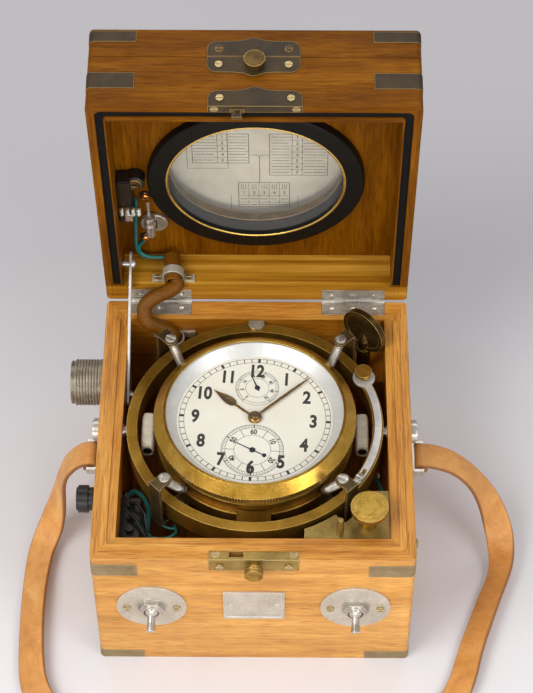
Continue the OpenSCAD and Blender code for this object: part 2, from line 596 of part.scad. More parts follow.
// ---------------------------------------------------------------- lid stay
open_c = cos(lid_open);
open_s = sin(lid_open);
stay_y = hinge_y + (bar_y - hinge_y) * open_c + (bar_z - hinge_z) * open_s;
stay_z = hinge_z - (bar_y - hinge_y) * open_s + (bar_z - hinge_z) * open_c;
stay_a = atan2(103 - stay_z, 40 - stay_y);
module stay_arm() color([0.78, 0.78, 0.78]) translate([0, stay_y, stay_z]) rotate([stay_a, 0, 0]) difference() {
  union() {
    span([-82.6, -5, -3], [-81.1, 91, 3]);
    xcyl([-82.6, -5, 0], 3, 1.5);
    xcyl([-82.6, 91, 0], 3, 1.5);
    xcyl([-82.6, 86, 0], 1.8, 4);
    xcyl([-86.9, 0, 0], 1.8, 8);
    xcyl([-81.2, 0, 0], 2.8, 1.6);
  }
  span([-84, 10, -1], [-80, 78, 1]);
}

// ---------------------------------------------------------------- gimbal ring
module gimbal_ring() color([0.58, 0.45, 0.20]) gim() difference() {
  ringz(ring_bot, ring_ro, ring_ri, ring_top - ring_bot);
  xcyl([-90, 0, gim_z], 3 + run_c, 180);
  ycyl([0, -90, bowl_z], 2.4, 180);
  rotate([0, 0, -33]) translate([arc_r, 0, ring_top - 6]) cylinder(r = 1.25, h = 10);
  rotate([0, 0, 28.2]) translate([arc_r + 0.4, 0, ring_top - 8.5]) cylinder(r = 1.5 + run_c, h = 12);
}
module ring_pivots() color([0.60, 0.60, 0.60]) gim() {
  for (a = [0, 180]) rotate([0, 0, a]) ycyl([0, -81.2, bowl_z], 2.4, 17.2);
  difference() {
    translate([0, 77.6 + 3, ring_top + 0.05]) cylinder(r = 5.2, h = 1.2);
    span([-10, 82.7, ring_top - 1], [10, 92, ring_top + 3]);
  }
  rotate([0, 0, -33]) translate([arc_r, 0, ring_top]) difference() {
    union() {
      translate([0, 0, -6]) cylinder(r = 1.08, h = 8.1);
      translate([0, 0, 2]) cylinder(r = 2.5, h = 1.4);
    }
    span([-4, -0.35, 2.8], [4, 0.35, 5]);
  }
}
module lock_arc() color([0.72, 0.72, 0.72]) gim() {
  difference() {
    union() {
      difference() {
        ringz(ring_top + 0.1, arc_r + 2.2, arc_r - 2.2, 1.8);
        rotate([0, 0, 24]) span([-100, 0, 100], [100, 100, 130]);
        rotate([0, 0, -38]) span([-100, -100, 100], [100, 0, 130]);
      }
      rotate([0, 0, 27.5]) translate([arc_r + 0.4, 0, ring_top + 0.1]) cylinder(r = 7, h = 1.8);
    }
    for (a = [-33 : 1 : -28]) rotate([0, 0, a]) translate([arc_r, 0, 100]) cylinder(r = 1.35, h = 30);
    rotate([0, 0, 28.2]) translate([arc_r + 0.4, 0, 100]) cylinder(r = 3.6, h = 30);
    rotate([0, 0, 28.2]) span([arc_r - 3.2, 0, 100], [arc_r + 4, 14, 130]);
  }
}
module thumb_knob() color([0.72, 0.58, 0.28]) gim() rotate([0, 0, 28.2]) translate([arc_r + 0.4, 0, ring_top]) {
  zcyl([0, 0, -8], 1.5, 8.1);
  zcyl([0, 0, 0.05], 2.4, 3.6);
  zcyl([0, 0, 3.5], 3.6, 1.5);
  zcyl([0, 0, 4.9], 5.4, 2.6);
}

// ---------------------------------------------------------------- bowl
module bowl_shell() color([0.62, 0.50, 0.24]) gim() difference() {
  union() {
    rotate_extrude($fn = 96) polygon([[0, 46], [30, 46], [45, 49], [54, 56], [58.5, 68], [58.5, 95],
      [62.3, 95.5], [62.3, 103.6], [61.6, 104.2], [59.5, 104.2], [59.5, 110.4], [60.3, 110.8],
      [60.3, 111.8], [59.5, 112.2], [59.5, 121], [57.4, 121], [57.4, 110], [56.5, 110], [56.5, 69],
      [52.4, 58], [44.2, 51], [30, 48], [0, 48]]);
    for (a = [0, 180]) rotate([0, 0, a]) span([-10.5, -71.4, 97.6], [10.5, -60, 105.2]);
  }
  for (a = [0, 180]) rotate([0, 0, a]) ycyl([0, -73, bowl_z], 2.4 + run_c, 10.4);
}
module bezel() color([0.72, 0.58, 0.28]) gim() rotate_extrude($fn = 96) polygon([[59.6, 117.6],
  [bez_r - 0.4, 117.6], [bez_r, 118], [bez_r, 122.3], [bez_r - 0.6, 122.9], [glass_r + 0.2, 128.2],
  [55.4, 128.2], [55.4, 127.5], [glass_r + 0.1, 127.5], [glass_r + 0.1, 121.1], [59.6, 121.1]]);
module crystal() color([0.85, 0.90, 0.90, 0.25]) gim() zcyl([0, 0, 125.4], glass_r, 2);
module dial() color([0.90, 0.88, 0.80]) dialpose() {
  difference() {
    zcyl([0, 0, dial_z - 1.2], 56.4, 1.2);
    zcyl([0, 0, 100], 3.1, 40);
    for (s = [-1, 1]) zcyl([0, s * sub_r, 100], 1.3, 40);
  }
  for (a = [30 : 120 : 270]) rotate([0, 0, a]) zcyl([53, 0, 113.05], 1.5, 5.3);
}
module rehaut() color([0.86, 0.86, 0.86]) gim() rotate_extrude($fn = 96) polygon([[dial_r, dial_z + 0.05],
  [56.9, dial_z + 0.05], [56.9, 125.3], [56.2, 125.3]]);
module spring_arms() color([0.20, 0.17, 0.13]) gim() for (a = arm_az) rotate([0, 0, a]) difference() {
  union() {
    span([83.6, -5, 93.5], [85.1, 5, 131]);
    span([76.5, -4.2, 129.5], [85.1, 4.2, 131]);
    zcyl([76.5, 0, 129.5], 4.4, 1.5);
    span([59, -5, 93.5], [85.1, 5, 95]);
  }
  zcyl([76.5, 0, 120], 2, 20);
}
module strut_springs() color([0.70, 0.70, 0.68]) gim() for (a = arm_az) rotate([0, 0, a]) {
  bar([63.4, 0, 107], [75.3, 0, 127.5], 3.2);
  span([60, -3, 104.3], [64.4, 3, 108.4]);
  difference() {
    union() {
      zcyl([76.5, 0, 131.05], 3.6, 2.3);
      zcyl([76.5, 0, 127], 1.9, 4.2);
      span([73.2, -3.6, 124.6], [79.8, 3.6, 129.45]);
    }
    span([70, -0.5, 132.2], [84, 0.5, 135]);
  }
}
module side_pads() color([0.84, 0.80, 0.70]) gim() for (s = [0, 180]) rotate([0, 0, s])
  difference() {
    union() {
      span([63.2, -13.5, 96], [71.8, 13.5, 109]);
      span([60.9, -13.5, 104.5], [71.8, 13.5, 109]);
    }
    zcyl([0, 0, 80], 60.8, 40);
    zcyl([0, 0, 80], 62.6, 24.4);
  }

// ---------------------------------------------------------------- movement
module movement_plates() color([0.74, 0.60, 0.30]) gim() {
  difference() {
    zcyl([0, 0, 110.05], 57.1, 2.95);
    zcyl([0, 0, 100], 3.2, 30);
    rotate([0, 0, dial_turn]) for (s = [-1, 1]) zcyl([0, s * sub_r, 100], 1.4, 30);
  }
  difference() {
    zcyl([0, 0, 84], 52, 2.6);
    zcyl([0, 0, 80], 1.6, 10);
    zcyl([-26, 8, 80], 3.1, 10);
    zcyl([26, 8, 80], 3.1, 10);
    zcyl([0, 33, 80], 1.3, 10);
    rotate([0, 0, dial_turn]) zcyl([0, -sub_r, 80], 1.3, 10);
  }
  for (a = [60, 120, 240, 300]) zcyl([46 * cos(a), 46 * sin(a), 86.5], 3, 23.6);
}
module centre_wheel() color([0.78, 0.64, 0.34]) gim() {
  zcyl([0, 0, 83], 1.5, 39);
  difference() {
    zcyl([0, 0, 106], 15, 1.4);
    for (a = [0 : 72 : 288]) rotate([0, 0, a]) zcyl([8.4, 0, 100], 3.4, 10);
  }
}
module fusee() color([0.70, 0.56, 0.28]) gim() translate([26, 8, 0]) {
  zcyl([0, 0, 78], 3, 31.9);
  for (i = [0 : 6]) zcyl([0, 0, 90 + i * 1.8], 14 - i * 1.1, 1.2);
  zcyl([0, 0, 88], 8, 15);
}
module barrel() color([0.74, 0.60, 0.30]) gim() translate([-26, 8, 0]) {
  zcyl([0, 0, 78], 3, 31.9);
  zcyl([0, 0, 88], 17, 15.6);
}
module balance() color([0.76, 0.62, 0.32]) gim() translate([0, 33, 0]) {
  zcyl([0, 0, 74], 1.2, 35.9);
  ringz(76, 15, 13, 2.4);
  span([-13.5, -1.4, 76.4], [13.5, 1.4, 78]);
  for (s = [-1, 1]) xcyl([s > 0 ? 14.6 : -17.8, 0, 77.2], 1.4, 3.2);
  zcyl([0, 0, 90], 5, 11);
}
hour_a = 62;
minute_a = -45;
module hour_hand() color([0.60, 0.46, 0.22]) dialpose() {
  ringz(114.2, 2.8, 1.7, dial_z - 113.2);
  ringz(114.2, 14, 1.7, 1.2);
  ringz(dial_z + 0.7, 4.2, 1.7, 0.8);
  rotate([0, 0, hour_a]) {
    span([-0.7, 3, dial_z + 0.7], [0.7, 34.8, dial_z + 1.2]);
    translate([0, 25, dial_z + 0.7]) scale([0.42, 1, 1]) cylinder(r = 6, h = 0.5);
  }
}
module minute_hand() color([0.66, 0.52, 0.26]) dialpose() {
  difference() {
    zcyl([0, 0, dial_z + 1.7], 4.4, 2.2);
    zcyl([0, 0, dial_z], 1.55, 2.7);
  }
  rotate([0, 0, minute_a]) span([-0.6, 4, dial_z + 1.9], [0.6, 46, dial_z + 2.4]);
}
module seconds_hand() color([0.12, 0.16, 0.30]) dialpose() translate([0, -sub_r, 0]) {
  zcyl([0, 0, 84.5], 1.2, dial_z - 84.2);
  zcyl([0, 0, dial_z + 0.1], 1.9, 0.5);
  rotate([0, 0, 64]) {
    span([-0.35, -8, dial_z + 0.15], [0.35, 15.5, dial_z + 0.5]);
    zcyl([0, -8.4, dial_z + 0.1], 1.3, 0.45);
  }
}
module updown_hand() color([0.12, 0.12, 0.14]) dialpose() translate([0, sub_r, 0]) {
  zcyl([0, 0, 108], 1.2, dial_z - 107.7);
  zcyl([0, 0, dial_z + 0.1], 1.7, 0.5);
  rotate([0, 0, 24]) span([-0.3, -2.5, dial_z + 0.15], [0.3, 9.5, dial_z + 0.5]);
}

// ---------------------------------------------------------------- drawing
case_box();
case_straps();
lower_lock_plate();
case_screws();
switch_plates();
switch_bushings();
nameplate();
connector_shell();
connector_insert();
fuse_base();
gimbal_bearings();
strap_lugs();
carry_strap();
corner_plate();
terminal_block();
hinge_leaves_case();
case_clamp();
cable_sleeve();
toggle_left();
toggle_right();
lower_lock_knob();
fuse_cap();
winding_key();
stop_knob();
lid_frame();
window_ring();
window_glass();
lid_gasket();
lid_fittings();
lid_screws();
lamp_holder();
lid_clamp();
hinge_leaves_lid();
lid_wires();
upper_lock_knob();
outer_lid();
outer_fittings();
diagram_card();
stay_arm();
gimbal_ring();
ring_pivots();
lock_arc();
thumb_knob();
bowl_shell();
bezel();
crystal();
dial();
rehaut();
spring_arms();
strut_springs();
side_pads();
movement_plates();
centre_wheel();
fusee();
barrel();
balance();
hour_hand();
minute_hand();
seconds_hand();
updown_hand();
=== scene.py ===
"""Marine chronometer in its oak case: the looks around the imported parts, the camera and the light."""
import math

import bmesh
import bpy
from mathutils import Matrix, Vector


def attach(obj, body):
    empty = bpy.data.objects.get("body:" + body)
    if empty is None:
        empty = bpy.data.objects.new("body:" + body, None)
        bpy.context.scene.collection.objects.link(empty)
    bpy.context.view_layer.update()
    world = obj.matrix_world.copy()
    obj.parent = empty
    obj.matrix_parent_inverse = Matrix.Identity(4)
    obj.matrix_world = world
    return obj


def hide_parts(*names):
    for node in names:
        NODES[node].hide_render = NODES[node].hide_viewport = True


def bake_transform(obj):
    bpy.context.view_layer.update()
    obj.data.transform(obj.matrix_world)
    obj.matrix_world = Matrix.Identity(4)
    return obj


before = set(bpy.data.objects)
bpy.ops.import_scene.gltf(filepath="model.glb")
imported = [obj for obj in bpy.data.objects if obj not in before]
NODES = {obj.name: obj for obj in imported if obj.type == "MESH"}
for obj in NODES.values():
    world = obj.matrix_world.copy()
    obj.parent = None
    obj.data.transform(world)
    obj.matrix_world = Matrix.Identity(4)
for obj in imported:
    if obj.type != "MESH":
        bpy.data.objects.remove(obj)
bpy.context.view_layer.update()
MM = 0.001


# ------------------------------------------------------------------ places
LID_OPEN = math.radians(84)
HINGE = Vector((0, 0.1008, 0.1153))
# from the closed lid's coordinates to where the lid stands at rest
LID = Matrix.Translation(HINGE) @ Matrix.Rotation(-LID_OPEN, 4, "X") @ Matrix.Translation(-HINGE)
GIMBAL_Y = 0.0012
GIMBAL = Matrix.Translation((0, GIMBAL_Y, 0))
DIAL_TURN = math.radians(-3)
DIAL = GIMBAL @ Matrix.Rotation(DIAL_TURN, 4, "Z")
DIAL_Z = 119.5
SUB_R = 24.2
# limits of the wood's different faces, in metres and with the lid closed
PANEL_Z = 0.1412
LID_IN_X, LID_IN_Y, LID_WALL_Y = 0.0871, 0.0866, 0.0852
CASE_IN_X, CASE_IN_Y, RIM_Z = 0.0832, 0.0852, 0.1148
# cross bar of the strap's lugs
LUG_X, LUG_Y, LUG_Z = 106, 1.2, 78
# half turns and quarter turns that bring a turned piece's +Z to another axis
OVER = Matrix.Rotation(math.pi, 4, "X")
TO_BACK = Matrix.Rotation(-math.pi / 2, 4, "X")
TO_FRONT = Matrix.Rotation(math.pi / 2, 4, "X")


def turn_z(deg):
    return Matrix.Rotation(math.radians(deg), 4, "Z")


def move(x, y, z):
    return Matrix.Translation((x * MM, y * MM, z * MM))


# ------------------------------------------------------------------ mesh helpers
def make(name, verts, faces, place=Matrix(), smooth=False):
    """A mesh object from points in millimetres, put in place by a matrix in metres."""
    mesh = bpy.data.meshes.new(name)
    mesh.from_pydata([place @ (Vector(v) * MM) for v in verts], [], faces)
    mesh.update()
    bm = bmesh.new()
    bm.from_mesh(mesh)
    bmesh.ops.recalc_face_normals(bm, faces=bm.faces)
    bm.to_mesh(mesh)
    bm.free()
    obj = bpy.data.objects.new(name, mesh)
    bpy.context.scene.collection.objects.link(obj)
    if smooth:
        soften(obj)
    return obj


def soften(obj, angle=35):
    """Smooth shading, with edges sharper than the angle left sharp."""
    bm = bmesh.new()
    bm.from_mesh(obj.data)
    limit = math.radians(angle)
    for face in bm.faces:
        face.smooth = True
    for edge in bm.edges:
        if len(edge.link_faces) == 2 and edge.calc_face_angle(0) > limit:
            edge.smooth = False
    bm.to_mesh(obj.data)
    bm.free()


def lathe(name, profile, place=Matrix(), steps=72, closed=True):
    """A turned piece about +Z; profile is a list of (radius, height) that runs round the section."""
    verts, faces, rings = [], [], []
    for r, z in profile:
        if r < 1e-6:
            rings.append([len(verts)])
            verts.append((0, 0, z))
            continue
        rings.append(list(range(len(verts), len(verts) + steps)))
        for i in range(steps):
            a = 2 * math.pi * i / steps
            verts.append((r * math.cos(a), r * math.sin(a), z))
    pairs = list(zip(rings, rings[1:]))
    if closed:
        pairs.append((rings[-1], rings[0]))
    for low, high in pairs:
        if len(low) == 1 and len(high) == 1:
            continue
        for i in range(steps):
            j = (i + 1) % steps
            if len(low) == 1:
                faces.append((low[0], high[i], high[j]))
            elif len(high) == 1:
                faces.append((low[i], low[j], high[0]))
            else:
                faces.append((low[i], low[j], high[j], high[i]))
    return make(name, verts, faces, place, smooth=True)


def solid_lathe(name, profile, place=Matrix(), steps=72):
    """A turned piece filled to the axis; the profile runs from its foot to its top."""
    foot = [] if profile[0][0] == 0 else [(0, profile[0][1])]
    top = [] if profile[-1][0] == 0 else [(0, profile[-1][1])]
    return lathe(name, foot + profile + top, place, steps, closed=False)


def prism(name, outline, z0, z1, place=Matrix()):
    """A flat piece: an outline in X and Y, from z0 to z1."""
    n = len(outline)
    verts = [(x, y, z) for z in (z0, z1) for x, y in outline]
    faces = [tuple(reversed(range(n))), tuple(range(n, 2 * n))]
    faces += [(i, (i + 1) % n, n + (i + 1) % n, n + i) for i in range(n)]
    return make(name, verts, faces, place)


def block(name, lo, hi, edge=0.4, place=Matrix(), segments=2):
    """A box with rounded edges."""
    x0, y0, z0 = lo
    x1, y1, z1 = hi
    obj = prism(name, [(x0, y0), (x1, y0), (x1, y1), (x0, y1)], z0, z1, place)
    return rounded(obj, edge, segments)


def rounded(obj, edge, segments=2):
    bm = bmesh.new()
    bm.from_mesh(obj.data)
    sharp = [e for e in bm.edges if e.calc_face_angle(0) > 0.6]
    bmesh.ops.bevel(bm, geom=sharp, offset=edge * MM, segments=segments, affect="EDGES", clamp_overlap=True)
    for face in bm.faces:
        face.smooth = True
    bm.to_mesh(obj.data)
    bm.free()
    soften(obj, 40)
    return obj


def curve_points(points, per=8):
    """A smooth line through the points."""
    pts = [Vector(p) for p in points]
    pts = [2 * pts[0] - pts[1], *pts, 2 * pts[-1] - pts[-2]]
    line = []
    for a, b, c, d in zip(pts, pts[1:], pts[2:], pts[3:]):
        for i in range(per):
            t = i / per
            line.append(0.5 * (2 * b + (c - a) * t + (2 * a - 5 * b + 4 * c - d) * t * t
                               + (3 * b - 3 * c + d - a) * t ** 3))
    line.append(pts[-2])
    return line


def tube(name, points, radius, place=Matrix(), sides=16, per=8):
    """A round cord along a smooth line."""
    line = curve_points(points, per)
    verts, faces = [], []
    up = Vector((0, 0, 1))
    for i, p in enumerate(line):
        ahead = (line[min(i + 1, len(line) - 1)] - line[max(i - 1, 0)]).normalized()
        if i == 0:
            up = Vector((1, 0, 0)) if abs(ahead.x) < 0.8 else Vector((0, 1, 0))
        side = ahead.cross(up).normalized()
        up = side.cross(ahead).normalized()
        for k in range(sides):
            a = 2 * math.pi * k / sides
            verts.append(p + (side * math.cos(a) + up * math.sin(a)) * radius)
    rows = len(line)
    for i in range(rows - 1):
        for k in range(sides):
            m = (k + 1) % sides
            faces.append((i * sides + k, i * sides + m, (i + 1) * sides + m, (i + 1) * sides + k))
    faces.append(tuple(reversed(range(sides))))
    faces.append(tuple(range((rows - 1) * sides, rows * sides)))
    return make(name, [tuple(v) for v in verts], faces, place, smooth=True)


def join(name, objs):
    """One object from several, keeping each one's materials."""
    target = objs[0]
    if len(objs) > 1:
        with bpy.context.temp_override(active_object=target, selected_editable_objects=objs):
            bpy.ops.object.join()
    target.name = name
    target.data.name = name
    return target


def figure(text, height, x, y, z, place, narrow=0.8, bold=0.0, turn=0.0):
    """Printed figures, centred on a point, as a thin raised mesh."""
    curve = bpy.data.curves.new("figure", "FONT")
    curve.body = text
    curve.size = height / 0.72
    curve.align_x = "CENTER"
    curve.align_y = "CENTER"
    curve.offset = bold
    curve.resolution_u = 6
    curve.extrude = 0.02
    obj = bpy.data.objects.new("figure", curve)
    bpy.context.scene.collection.objects.link(obj)
    mesh = bpy.data.meshes.new_from_object(obj.evaluated_get(bpy.context.evaluated_depsgraph_get()))
    bpy.data.objects.remove(obj)
    low = [min(v.co[i] for v in mesh.vertices) for i in (0, 1)]
    high = [max(v.co[i] for v in mesh.vertices) for i in (0, 1)]
    shift = Matrix.Translation((-(low[0] + high[0]) / 2, -(low[1] + high[1]) / 2, 0))
    size = Matrix.Diagonal((narrow * MM, MM, MM, 1))
    mesh.transform(place @ move(x, y, z) @ turn_z(turn) @ size @ shift)
    new = bpy.data.objects.new("figure", mesh)
    bpy.context.scene.collection.objects.link(new)
    return new


# ------------------------------------------------------------------ material helpers
def tone(colour):
    """A colour from 0 to 255 as the eye sees it, made linear."""
    return tuple(((c / 255 + 0.055) / 1.055) ** 2.4 if c > 10 else c / 255 / 12.92 for c in colour) + (1,)


class Look:
    """A material's node tree, with short calls for what the looks below need."""

    def __init__(self, name):
        self.mat = bpy.data.materials.new(name)
        self.mat.use_nodes = True
        self.tree = self.mat.node_tree
        self.tree.nodes.clear()
        self.out = self.add("ShaderNodeOutputMaterial")
        self.shader = self.add("ShaderNodeBsdfPrincipled")
        self.link(self.shader.outputs[0], self.out.inputs[0])
        self.place = self.add("ShaderNodeTexCoord").outputs["Object"]

    def add(self, kind, **values):
        node = self.tree.nodes.new(kind)
        for key, value in values.items():
            setattr(node, key, value)
        return node

    def link(self, a, b):
        self.tree.links.new(a, b)

    def set(self, **values):
        for key, value in values.items():
            self.shader.inputs[key.replace("_", " ")].default_value = value

    def mapped(self, scale, turn=(0, 0, 0), at=(0, 0, 0), source=None):
        node = self.add("ShaderNodeMapping")
        node.inputs["Scale"].default_value = scale
        node.inputs["Rotation"].default_value = turn
        node.inputs["Location"].default_value = at
        self.link(source or self.place, node.inputs["Vector"])
        return node.outputs[0]

    def noise(self, scale, detail=4, rough=0.55, vector=None, twist=0.0):
        node = self.add("ShaderNodeTexNoise")
        node.inputs["Scale"].default_value = scale
        node.inputs["Detail"].default_value = detail
        node.inputs["Roughness"].default_value = rough
        node.inputs["Distortion"].default_value = twist
        self.link(vector or self.place, node.inputs["Vector"])
        return node.outputs["Fac"]

    def ramp(self, value, *stops):
        """Stops are (position, colour) or (position, grey)."""
        node = self.add("ShaderNodeValToRGB")
        ramp = node.color_ramp
        while len(ramp.elements) < len(stops):
            ramp.elements.new(0.5)
        for element, (at, colour) in zip(ramp.elements, stops):
            element.position = at
            element.color = colour if isinstance(colour, tuple) else (colour, colour, colour, 1)
        self.link(value, node.inputs[0])
        return node.outputs[0]

    def mix(self, how, a, b, factor=1.0):
        node = self.add("ShaderNodeMix", data_type="RGBA", blend_type=how)
        for socket, value in ((node.inputs[0], factor), (node.inputs[6], a), (node.inputs[7], b)):
            if isinstance(value, (tuple, float, int)):
                socket.default_value = value
            else:
                self.link(value, socket)
        return node.outputs[2]

    def math(self, how, a, b=0.0, clamp=False):
        node = self.add("ShaderNodeMath", operation=how, use_clamp=clamp)
        for socket, value in zip(node.inputs, (a, b)):
            if isinstance(value, (float, int)):
                socket.default_value = value
            else:
                self.link(value, socket)
        return node.outputs[0]

    def axes(self, source=None):
        node = self.add("ShaderNodeSeparateXYZ")
        self.link(source or self.place, node.inputs[0])
        return node.outputs

    def edges(self, radius):
        """Where an edge is near: 0 on flats, up to 0.9 on corners."""
        soft = self.add("ShaderNodeBevel", samples=6)
        soft.inputs["Radius"].default_value = radius
        flat = self.add("ShaderNodeNewGeometry")
        dot = self.add("ShaderNodeVectorMath", operation="DOT_PRODUCT")
        self.link(soft.outputs[0], dot.inputs[0])
        self.link(flat.outputs["Normal"], dot.inputs[1])
        return self.ramp(dot.outputs["Value"], (0.86, 0.9), (0.985, 0.0))

    def colour(self, value):
        self.link(value, self.shader.inputs["Base Color"])

    def rough(self, value, low, high):
        node = self.add("ShaderNodeMapRange")
        node.inputs["To Min"].default_value = low
        node.inputs["To Max"].default_value = high
        self.link(value, node.inputs[0])
        self.link(node.outputs[0], self.shader.inputs["Roughness"])

    def bump(self, height, strength, distance, edge=0.0):
        node = self.add("ShaderNodeBump")
        node.inputs["Strength"].default_value = strength
        node.inputs["Distance"].default_value = distance
        self.link(height, node.inputs["Height"])
        if edge:
            soft = self.add("ShaderNodeBevel", samples=4)
            soft.inputs["Radius"].default_value = edge
            self.link(soft.outputs[0], node.inputs["Normal"])
        self.link(node.outputs[0], self.shader.inputs["Normal"])


def dress(name, mat):
    """Gives a CAD node or a piece its one material."""
    obj = NODES[name] if isinstance(name, str) else name
    obj.data.materials.clear()
    obj.data.materials.append(mat)


def settle(obj, mat, body, stands_for=None):
    """Material and body of a finished piece, and the CAD node that it stands for."""
    if mat:
        dress(obj, mat)
    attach(obj, body)
    if stands_for:
        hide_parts(stands_for)


def wood(name, dark, mid, light, lid=False, coat=0.1, panel=False, inner=None):
    """Varnished oak. The grain runs along each board, and the boards meet in mitres at the corners."""
    dark, mid, light = map(tone, (dark, mid, light))
    look = Look(name)
    place = look.place
    if lid:
        back = LID.inverted()
        place = look.mapped((1, 1, 1), back.to_euler(), back.to_translation())
    x, y, z = look.axes(place)
    off_x, off_y = look.math("ABSOLUTE", x), look.math("ABSOLUTE", y)
    side = look.math("GREATER_THAN", off_x, look.math("MULTIPLY", off_y, 0.98))
    if panel:
        inside = look.math("MULTIPLY", look.math("GREATER_THAN", z, PANEL_Z),
                           look.math("LESS_THAN", off_y, LID_IN_Y))
        inside = look.math("MULTIPLY", inside, look.math("LESS_THAN", off_x, LID_IN_X))
        side = look.math("MAXIMUM", side, inside)
    across = look.add("ShaderNodeCombineXYZ")
    for i, s in enumerate((y, x, z)):
        look.link(s, across.inputs[i])
    pick = look.add("ShaderNodeMix", data_type="VECTOR")
    look.link(side, pick.inputs[0])
    look.link(place, pick.inputs[4])
    look.link(across.outputs[0], pick.inputs[5])
    board = pick.outputs[1]
    warp = look.noise(7, 2, 0.5, look.mapped((0.35, 1.6, 1.6), source=board))
    broad = look.noise(1.0, 5, 0.6, look.mapped((9, 75, 75), source=board), twist=0.6)
    fine = look.noise(1.0, 6, 0.65, look.mapped((28, 620, 620), source=board))
    pores = look.noise(1.0, 3, 0.5, look.mapped((75, 1900, 1900), source=board))
    flame = look.add("ShaderNodeTexWave", wave_type="BANDS", bands_direction="Y", wave_profile="SAW")
    flame.inputs["Scale"].default_value = 1.0
    flame.inputs["Distortion"].default_value = 5.5
    flame.inputs["Detail"].default_value = 3
    flame.inputs["Detail Scale"].default_value = 0.9
    look.link(look.mapped((3.0, 26, 26), source=board), flame.inputs["Vector"])
    base = look.ramp(broad, (0.28, dark), (0.5, mid), (0.74, light))
    base = look.mix("SOFT_LIGHT", base, look.ramp(fine, (0.3, 0.18), (0.7, 0.82)), 0.6)
    figure_tone = look.ramp(flame.outputs["Fac"], (0.0, 0.74), (0.35, 1.0), (1.0, 0.93))
    base = look.mix("MULTIPLY", base, figure_tone, 0.45)
    pore_tone = look.ramp(pores, (0.36, (0.42, 0.30, 0.2, 1)), (0.46, (1, 1, 1, 1)))
    base = look.mix("MULTIPLY", base, pore_tone, 0.6)
    base = look.mix("MULTIPLY", base, look.ramp(warp, (0.3, 0.84), (0.7, 1.08)), 0.6)
    if lid:
        wall = look.math("MULTIPLY", look.math("GREATER_THAN", y, LID_WALL_Y),
                         look.math("LESS_THAN", z, PANEL_Z))
        bands = look.noise(1.0, 3, 0.5, look.mapped((3, 60, 210), source=place), twist=0.4)
        pale = look.ramp(bands, (0.36, tone(inner[0])), (0.5, tone(inner[1])), (0.62, tone(inner[2])))
        pale = look.mix("SOFT_LIGHT", pale, look.ramp(fine, (0.3, 0.2), (0.7, 0.8)), 0.5)
        base = look.mix("MIX", base, pale, wall)
    else:
        # painted shade: the case's inner faces are multiplied darker and more orange
        inside = look.math("MULTIPLY", look.math("LESS_THAN", off_x, CASE_IN_X),
                           look.math("LESS_THAN", off_y, CASE_IN_Y))
        base = look.mix("MULTIPLY", base, tone((224, 196, 110)), inside)
        rim = look.math("MULTIPLY", look.math("GREATER_THAN", z, RIM_Z), look.math("SUBTRACT", 1.0, inside))
        base = look.mix("MULTIPLY", base, tone((255, 246, 214)), rim)
    look.colour(base)
    look.rough(fine, 0.30, 0.48)
    look.bump(look.ramp(pores, (0.34, 0.0), (0.5, 1.0)), 0.25, 0.0003, edge=0.0007)
    look.set(Coat_Weight=coat, Coat_Roughness=0.2, IOR=1.5, Specular_IOR_Level=0.08 if lid else 0.3)
    return look.mat


def metal(name, dark, mid, light, rough=(0.25, 0.45), grain=140, metallic=0.95, bump=0.12, stain=0.0,
          edge_highlight=None):
    """Aged metal: cloudy colour, uneven gloss and fine marks; the last argument is the colour of a painted
    highlight along its edges.
    """
    dark, mid, light = map(tone, (dark, mid, light))
    look = Look(name)
    cloud = look.noise(grain, 6, 0.6, twist=0.4)
    fine = look.noise(grain * 9, 4, 0.6)
    base = look.ramp(cloud, (0.3, dark), (0.5, mid), (0.72, light))
    base = look.mix("OVERLAY", base, look.ramp(fine, (0.3, 0.38), (0.7, 0.62)), 0.5)
    if stain:
        spots = look.ramp(look.noise(grain * 0.45, 8, 0.7, twist=1.0), (0.5, 0.0), (0.64, 1.0))
        base = look.mix("MIX", base, (0.05, 0.04, 0.03, 1), look.math("MULTIPLY", spots, stain))
    # painted highlight: a lighter colour is mixed in near every edge
    if edge_highlight:
        base = look.mix("MIX", base, tone(edge_highlight), look.edges(0.0007))
    look.colour(base)
    look.rough(cloud, *rough)
    look.bump(fine, bump, 0.0002, edge=0.0004)
    look.set(Metallic=metallic)
    return look.mat


def plain(name, dark, light, rough, grain, bump, depth, edge=0.0, shine=0.5):
    """Paint, plastic, rubber or card: a slight change of tone and gloss, and a fine surface."""
    dark, light = map(tone, (dark, light))
    look = Look(name)
    cloud = look.noise(grain, 5, 0.6)
    fine = look.noise(grain * 8, 3, 0.6)
    look.colour(look.ramp(cloud, (0.3, dark), (0.7, light)))
    look.rough(cloud, *rough)
    look.bump(fine, bump, depth, edge=edge)
    look.set(Specular_IOR_Level=shine)
    return look.mat


def glass(name, tint, low, high):
    """Clear glass: its alpha rises towards the edges of the view, as its reflection does."""
    look = Look(name)
    smear = look.noise(60, 4, 0.6)
    look.colour(look.ramp(smear, (0.3, tint), (0.7, (1, 1, 1, 1))))
    look.rough(smear, 0.01, 0.05)
    turn = look.add("ShaderNodeFresnel")
    turn.inputs["IOR"].default_value = 1.5
    spread = look.add("ShaderNodeMapRange")
    spread.inputs["From Min"].default_value = 0.03
    spread.inputs["From Max"].default_value = 0.8
    spread.inputs["To Min"].default_value = low
    spread.inputs["To Max"].default_value = high
    look.link(turn.outputs[0], spread.inputs[0])
    front = look.math("SUBTRACT", 1.0, look.add("ShaderNodeNewGeometry").outputs["Backfacing"])
    look.link(look.math("MULTIPLY", spread.outputs[0], front), look.shader.inputs["Alpha"])
    look.set(IOR=1.5)
    return look.mat


